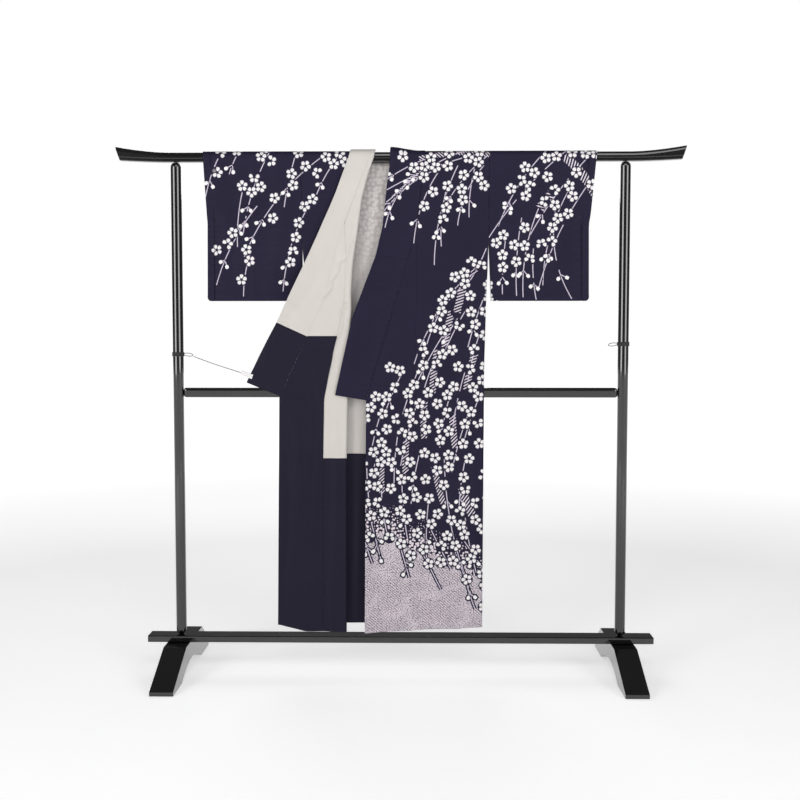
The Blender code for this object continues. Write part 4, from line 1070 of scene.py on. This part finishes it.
back_rows = right_points[:right_back_rows][:, :right_extra + len(shares(PANEL_WIDTH)) - 1]
back_cut = np.stack([back_rows[..., 0], TURN_Z + QUARTER - back_rows[..., 2]], axis=-1)
covered = back_cut[:, 0, 1] > NECK_DEPTH + 0.004
back_rows, back_cut = back_rows[covered][::-1], back_cut[covered][::-1]
# The back's lining, seen through the neck, takes the lining silk with painted shade
lining("right_back_lining", moved(back_rows, LAYER), back_cut,
       int(np.searchsorted(back_cut[:, 0, 1], BACK_LINING_END)),
       ("right_back_lining", "right_back_hem_lining"),
       ((0.300, 0.970, None), (0.300, 0.580, None)), painted_shade_lining_silk)


# ---- Collar ------------------------------------------------------------------------------------
# One long strip sewn along both front edges and round the neck, wide here because it is opened
# flat. A second strip, the over-collar, is sewn on top of it from the neck to the chest.
LEFT_COLLAR_EDGE = ((0, -0.0310), (0.058, -0.0342), (0.132, -0.0440), (0.2586, -0.0572),
                    (0.356, -0.0802), (0.5586, -0.1561), (0.812, -0.2129))
RIGHT_COLLAR_EDGE = ((0, -0.1600), (0.0275, -0.1665), (0.072, -0.1820), (0.147, -0.2092),
                     (0.220, -0.2410), (0.2948, -0.2741), (0.377, -0.3125), (0.462, -0.3535),
                     (0.5685, -0.4015), (0.627, -0.4325), (0.7705, -0.5042))
COLLAR_LAYER = 0.0016
LEFT_SEAM_END, LEFT_EDGE_END, LEFT_OVER_END = 0.8285, 0.812, 0.356
RIGHT_SEAM_END, RIGHT_EDGE_END, RIGHT_OVER_END = 0.815, 0.7705, 0.377
RIGHT_LINING_END = 0.5685


def collar_strip(edge_table, okumi, front, edge_end, seam_end, gap, out, shear):
    """The collar from the shoulder down: its free edge runs a little shorter than its seam."""
    t = np.linspace(0, 1, int(seam_end / GRID_STEP) + 1)
    edge_fall, seam_fall = t * edge_end, t * seam_end + shear * np.sin(np.pi * t)
    panel = read(front, seam_fall)
    seam = np.where(seam_fall < OKUMI_POINT, panel, np.minimum(panel, read(okumi, seam_fall))) - gap
    points, cut = strip(read(edge_table, edge_fall), seam, edge_fall, seam_fall, out,
                        shares(0.105))
    return points, cut, edge_fall


points, cut, edge_fall = collar_strip(LEFT_COLLAR_EDGE, LEFT_OKUMI_EDGE, LEFT_FRONT_SEAM,
                                      LEFT_EDGE_END, LEFT_SEAM_END, 2 * SEAM, left_out, 0.010)
left_collar = cloth("left_collar_strip", points, cut, FRONT, CLOTH, silk, figured=True)
placed(left_collar, ("left_collar",), "navy_silk", (0.117, 0.850))
over = edge_fall <= LEFT_OVER_END
left_over = cloth("left_over_collar_strip", moved(points, -COLLAR_LAYER)[over], cut[over], FRONT,
                  CLOTH, silk, figured=True)
placed(left_over, ("left_over_collar",), "navy_silk", (0.117, 0.370))

points, cut, edge_fall = collar_strip(RIGHT_COLLAR_EDGE, RIGHT_OKUMI_EDGE, RIGHT_FRONT_SEAM,
                                      RIGHT_EDGE_END, RIGHT_SEAM_END, SEAM, turned_out, 0.018)
right_collar = cloth("right_collar_strip", points, cut + PLAIN_CUT, FRONT, CLOTH, silk)
placed(right_collar, ("right_collar",), "navy_silk", (0.117, 0.850))
over = edge_fall <= RIGHT_OVER_END
right_over = cloth("right_over_collar_strip", moved(points, COLLAR_LAYER)[over], cut[over] + PLAIN_CUT,
                   FRONT, CLOTH, silk)
placed(right_over, ("right_over_collar",), "navy_silk", (0.117, 0.370), area=0.0355)
lining("right_collar_lining", moved(points, -LAYER), cut,
       int(np.searchsorted(edge_fall, RIGHT_LINING_END)),
       ("right_collar_lining", "right_collar_hem_lining"),
       ((0.117, 0.620, None), (0.117, 0.250, None)))

# Behind the neck the collar is folded double and falls back: seam, middle and free edge of each
# section, each as x, fall down the back and distance out
NECK_ROWS = (
    ((0.0830, 0.0137, 0.0014), (0.0350, 0.0060, 0.0120), (-0.0240, 0.0100, 0.0170)),
    ((0.0828, 0.0270, 0.0020), (0.0400, 0.0120, 0.0150), (-0.0100, 0.0180, 0.0210)),
    ((0.0780, 0.0376, 0.0016), (0.0500, 0.0220, 0.0200), (0.0120, 0.0480, 0.0240)),
    ((0.0350, 0.0376, 0.0016), (0.0320, 0.0250, 0.0130), (0.0240, 0.0850, 0.0125)),
    ((-0.0150, 0.0376, 0.0016), (-0.0150, 0.0250, 0.0120), (-0.0150, 0.0920, 0.0110)),
    ((-0.0550, 0.0376, 0.0016), (-0.0580, 0.0250, 0.0130), (-0.0680, 0.0880, 0.0125)),
    ((-0.0790, 0.0376, 0.0016), (-0.0880, 0.0220, 0.0160), (-0.1180, 0.0700, 0.0150)),
    ((-0.0820, 0.0270, 0.0060), (-0.1100, 0.0150, 0.0170), (-0.1500, 0.0350, 0.0165)),
    ((-0.0860, 0.0130, 0.0060), (-0.1140, 0.0110, 0.0105), (-0.1550, 0.0160, 0.0110)),
)
FOLDED_COLLAR, SECTION_STEPS, SECTION_COLUMNS, NECK_CUT = 0.0024, 8, 18, 3.0

across = np.linspace(0, 1, SECTION_COLUMNS)[:, None]


def shoulder_row(seam_x, edge_x, out):
    x = seam_x + (edge_x - seam_x) * across[:, 0]
    return on_drape(x, 2 * SEAM, out(x, np.zeros_like(x)), BACK)


sections = [shoulder_row(LEFT_FRONT_SEAM[0][1] - 2 * SEAM, LEFT_COLLAR_EDGE[0][1], left_out)]
for section in NECK_ROWS:
    seam, middle, edge = (on_drape(*place, BACK) for place in section)
    sections.append(seam * (1 - across) ** 2 + middle * 2 * across * (1 - across)
                    + edge * across ** 2)
sections.append(shoulder_row(RIGHT_FRONT_SEAM[0][1] - SEAM, RIGHT_COLLAR_EDGE[0][1], turned_out))
neck = np.array(smooth_route(sections, SECTION_STEPS))
neck_cut = np.stack(np.meshgrid(np.linspace(0, 0.117, neck.shape[1]) + NECK_CUT,
                                np.linspace(0, 0.360, neck.shape[0])), axis=-1)
neck_collar = cloth("neck_collar_strip", neck, neck_cut, BACK, FOLDED_COLLAR, silk)
placed(neck_collar, ("neck_collar",), "navy_silk", (0.080, 0.270))


# ---- Sleeves -----------------------------------------------------------------------------------
# Each sleeve is one length of silk folded over the rail, sewn below the cuff's opening and along
# the bottom, and left open beside the body, where its ivory lining shows.
Sleeve = namedtuple("Sleeve", "inner cuff creases")
SLEEVES = {
    "right_sleeve": Sleeve(
        ((0, -0.3231), (0.3055, -0.3231), (0.51, -0.3240)),
        ((0, -0.6500), (0.211, -0.6375), (0.51, -0.6400)),
        ((-0.485, 0.040, -0.482, 0.500, 0.006, 0.0012),
         (-0.560, 0.100, -0.545, 0.440, 0.024, -0.0020),
         (-0.400, 0.080, -0.412, 0.480, 0.026, 0.0022),
         (-0.630, 0.250, -0.330, 0.262, 0.005, 0.0008))),
    "left_sleeve": Sleeve(
        ((0, 0.2921), (0.3055, 0.2921), (0.51, 0.3022)),
        ((0, 0.6465), (0.255, 0.6230), (0.51, 0.6255)),
        ((0.460, 0.040, 0.463, 0.500, 0.006, 0.0012),
         (0.540, 0.080, 0.530, 0.460, 0.024, -0.0020),
         (0.370, 0.120, 0.378, 0.480, 0.024, 0.0022),
         (0.310, 0.252, 0.620, 0.246, 0.005, 0.0008))),
}
SLEEVE_DROP, ARMHOLE = 0.5010, 0.3055
CUFF_OPENING, CUFF_CLOSED = 0.230, 0.0020
SLEEVE_THIN, BOTTOM_ROUND = 0.0095, 0.010
CORNER_START, CORNER_RISE = 0.965, 0.012
LINED_TUBE = 0.0013
THIN_DOWN, SHUT_DOWN = (0.12, 0.45), (CUFF_OPENING - 0.02, CUFF_OPENING + 0.02)
PINCH_ALONG, SEWN_ALONG, SEWN_DOWN = (0.80, 0.98), (0.40, 0.0), (ARMHOLE + 0.12, ARMHOLE)


def sleeve_tube(shape):
    """Rings from the body to the cuff: down the front, round the bottom and up the back."""
    near_cuff = 1 - 0.07 * np.linspace(1, 0, 20) ** 1.8
    station = np.unique(np.concatenate([np.linspace(0, 0.93, 48), near_cuff]))
    ridge = np.linspace(0, QUARTER, 7)
    flat = np.linspace(QUARTER, SLEEVE_DROP - BOTTOM_ROUND, 74)[1:]
    turn = SLEEVE_DROP - BOTTOM_ROUND * (1 - np.sin(np.linspace(0, np.pi / 2, 7)))[1:]
    down_side = np.concatenate([ridge, flat, turn])
    fall = np.concatenate([down_side, down_side[-2:0:-1]])[None, :]
    side = np.concatenate([np.full(len(down_side), -1.0),
                           np.full(len(down_side) - 2, 1.0)])[None, :]
    station = station[:, None]
    corner = np.clip((station - CORNER_START) / (1 - CORNER_START), 0, 1)
    bottom = SLEEVE_DROP - CORNER_RISE * (1 - np.sqrt(1 - corner ** 2))
    at = np.where(fall > ARMHOLE, ARMHOLE + (fall - ARMHOLE) * (bottom - ARMHOLE)
                  / (SLEEVE_DROP - ARMHOLE), fall + 0 * station)
    x = read(shape.inner, at) * (1 - station) + read(shape.cuff, at) * station
    crease = creased(x, at, shape.creases) * smooth((station - 0.02) / 0.1)
    front = on_drape(x, at, crease, FRONT)
    back = on_drape(x, at, crease, BACK)
    points = np.where(side[..., None] < 0, front, back)
    thin = ramp(at, THIN_DOWN)
    reach = RIDGE_RADIUS * (1 - thin) + SLEEVE_THIN * thin
    shut = ramp(station, PINCH_ALONG) * ramp(at, SHUT_DOWN)
    closing = np.sqrt(np.clip(1 - ((at - bottom + BOTTOM_ROUND) / BOTTOM_ROUND).clip(0) ** 2, 0, 1))
    own = side * (reach * (1 - shut) + CUFF_CLOSED * shut + crease * (1 - shut)) * closing
    sewn = ramp(station, SEWN_ALONG) * ramp(at, SEWN_DOWN)
    y = own + (points[..., 1] - own) * sewn
    points[..., 1] = np.where(at > QUARTER, y, points[..., 1])
    return points, np.stack([x, at], axis=-1), np.where(side < 0, FRONT, BACK)


for name, shape in SLEEVES.items():
    points, cut, side = sleeve_tube(shape)
    toward = 1 if name == "left_sleeve" else -1
    tube = cloth(name + "_tube", points, cut, side, CLOTH, silk, closed=True, figured=True)
    placed(tube, (name,), "navy_silk", (1.000, 0.340))
    ahead, behind = np.roll(points, -1, axis=1), np.roll(points, 1, axis=1)
    tangent = ahead - behind
    inward = np.stack([0 * tangent[..., 0], -tangent[..., 2], tangent[..., 1]], axis=-1)
    inward /= np.linalg.norm(inward, axis=-1, keepdims=True)
    inner = cloth(name + "_lining_tube", points + inward * LINED_TUBE, cut, side, LINING,
                  ivory_silk, closed=True)
    placed(inner, (name + "_lining",), "ivory_lining", (0.990, 0.340))
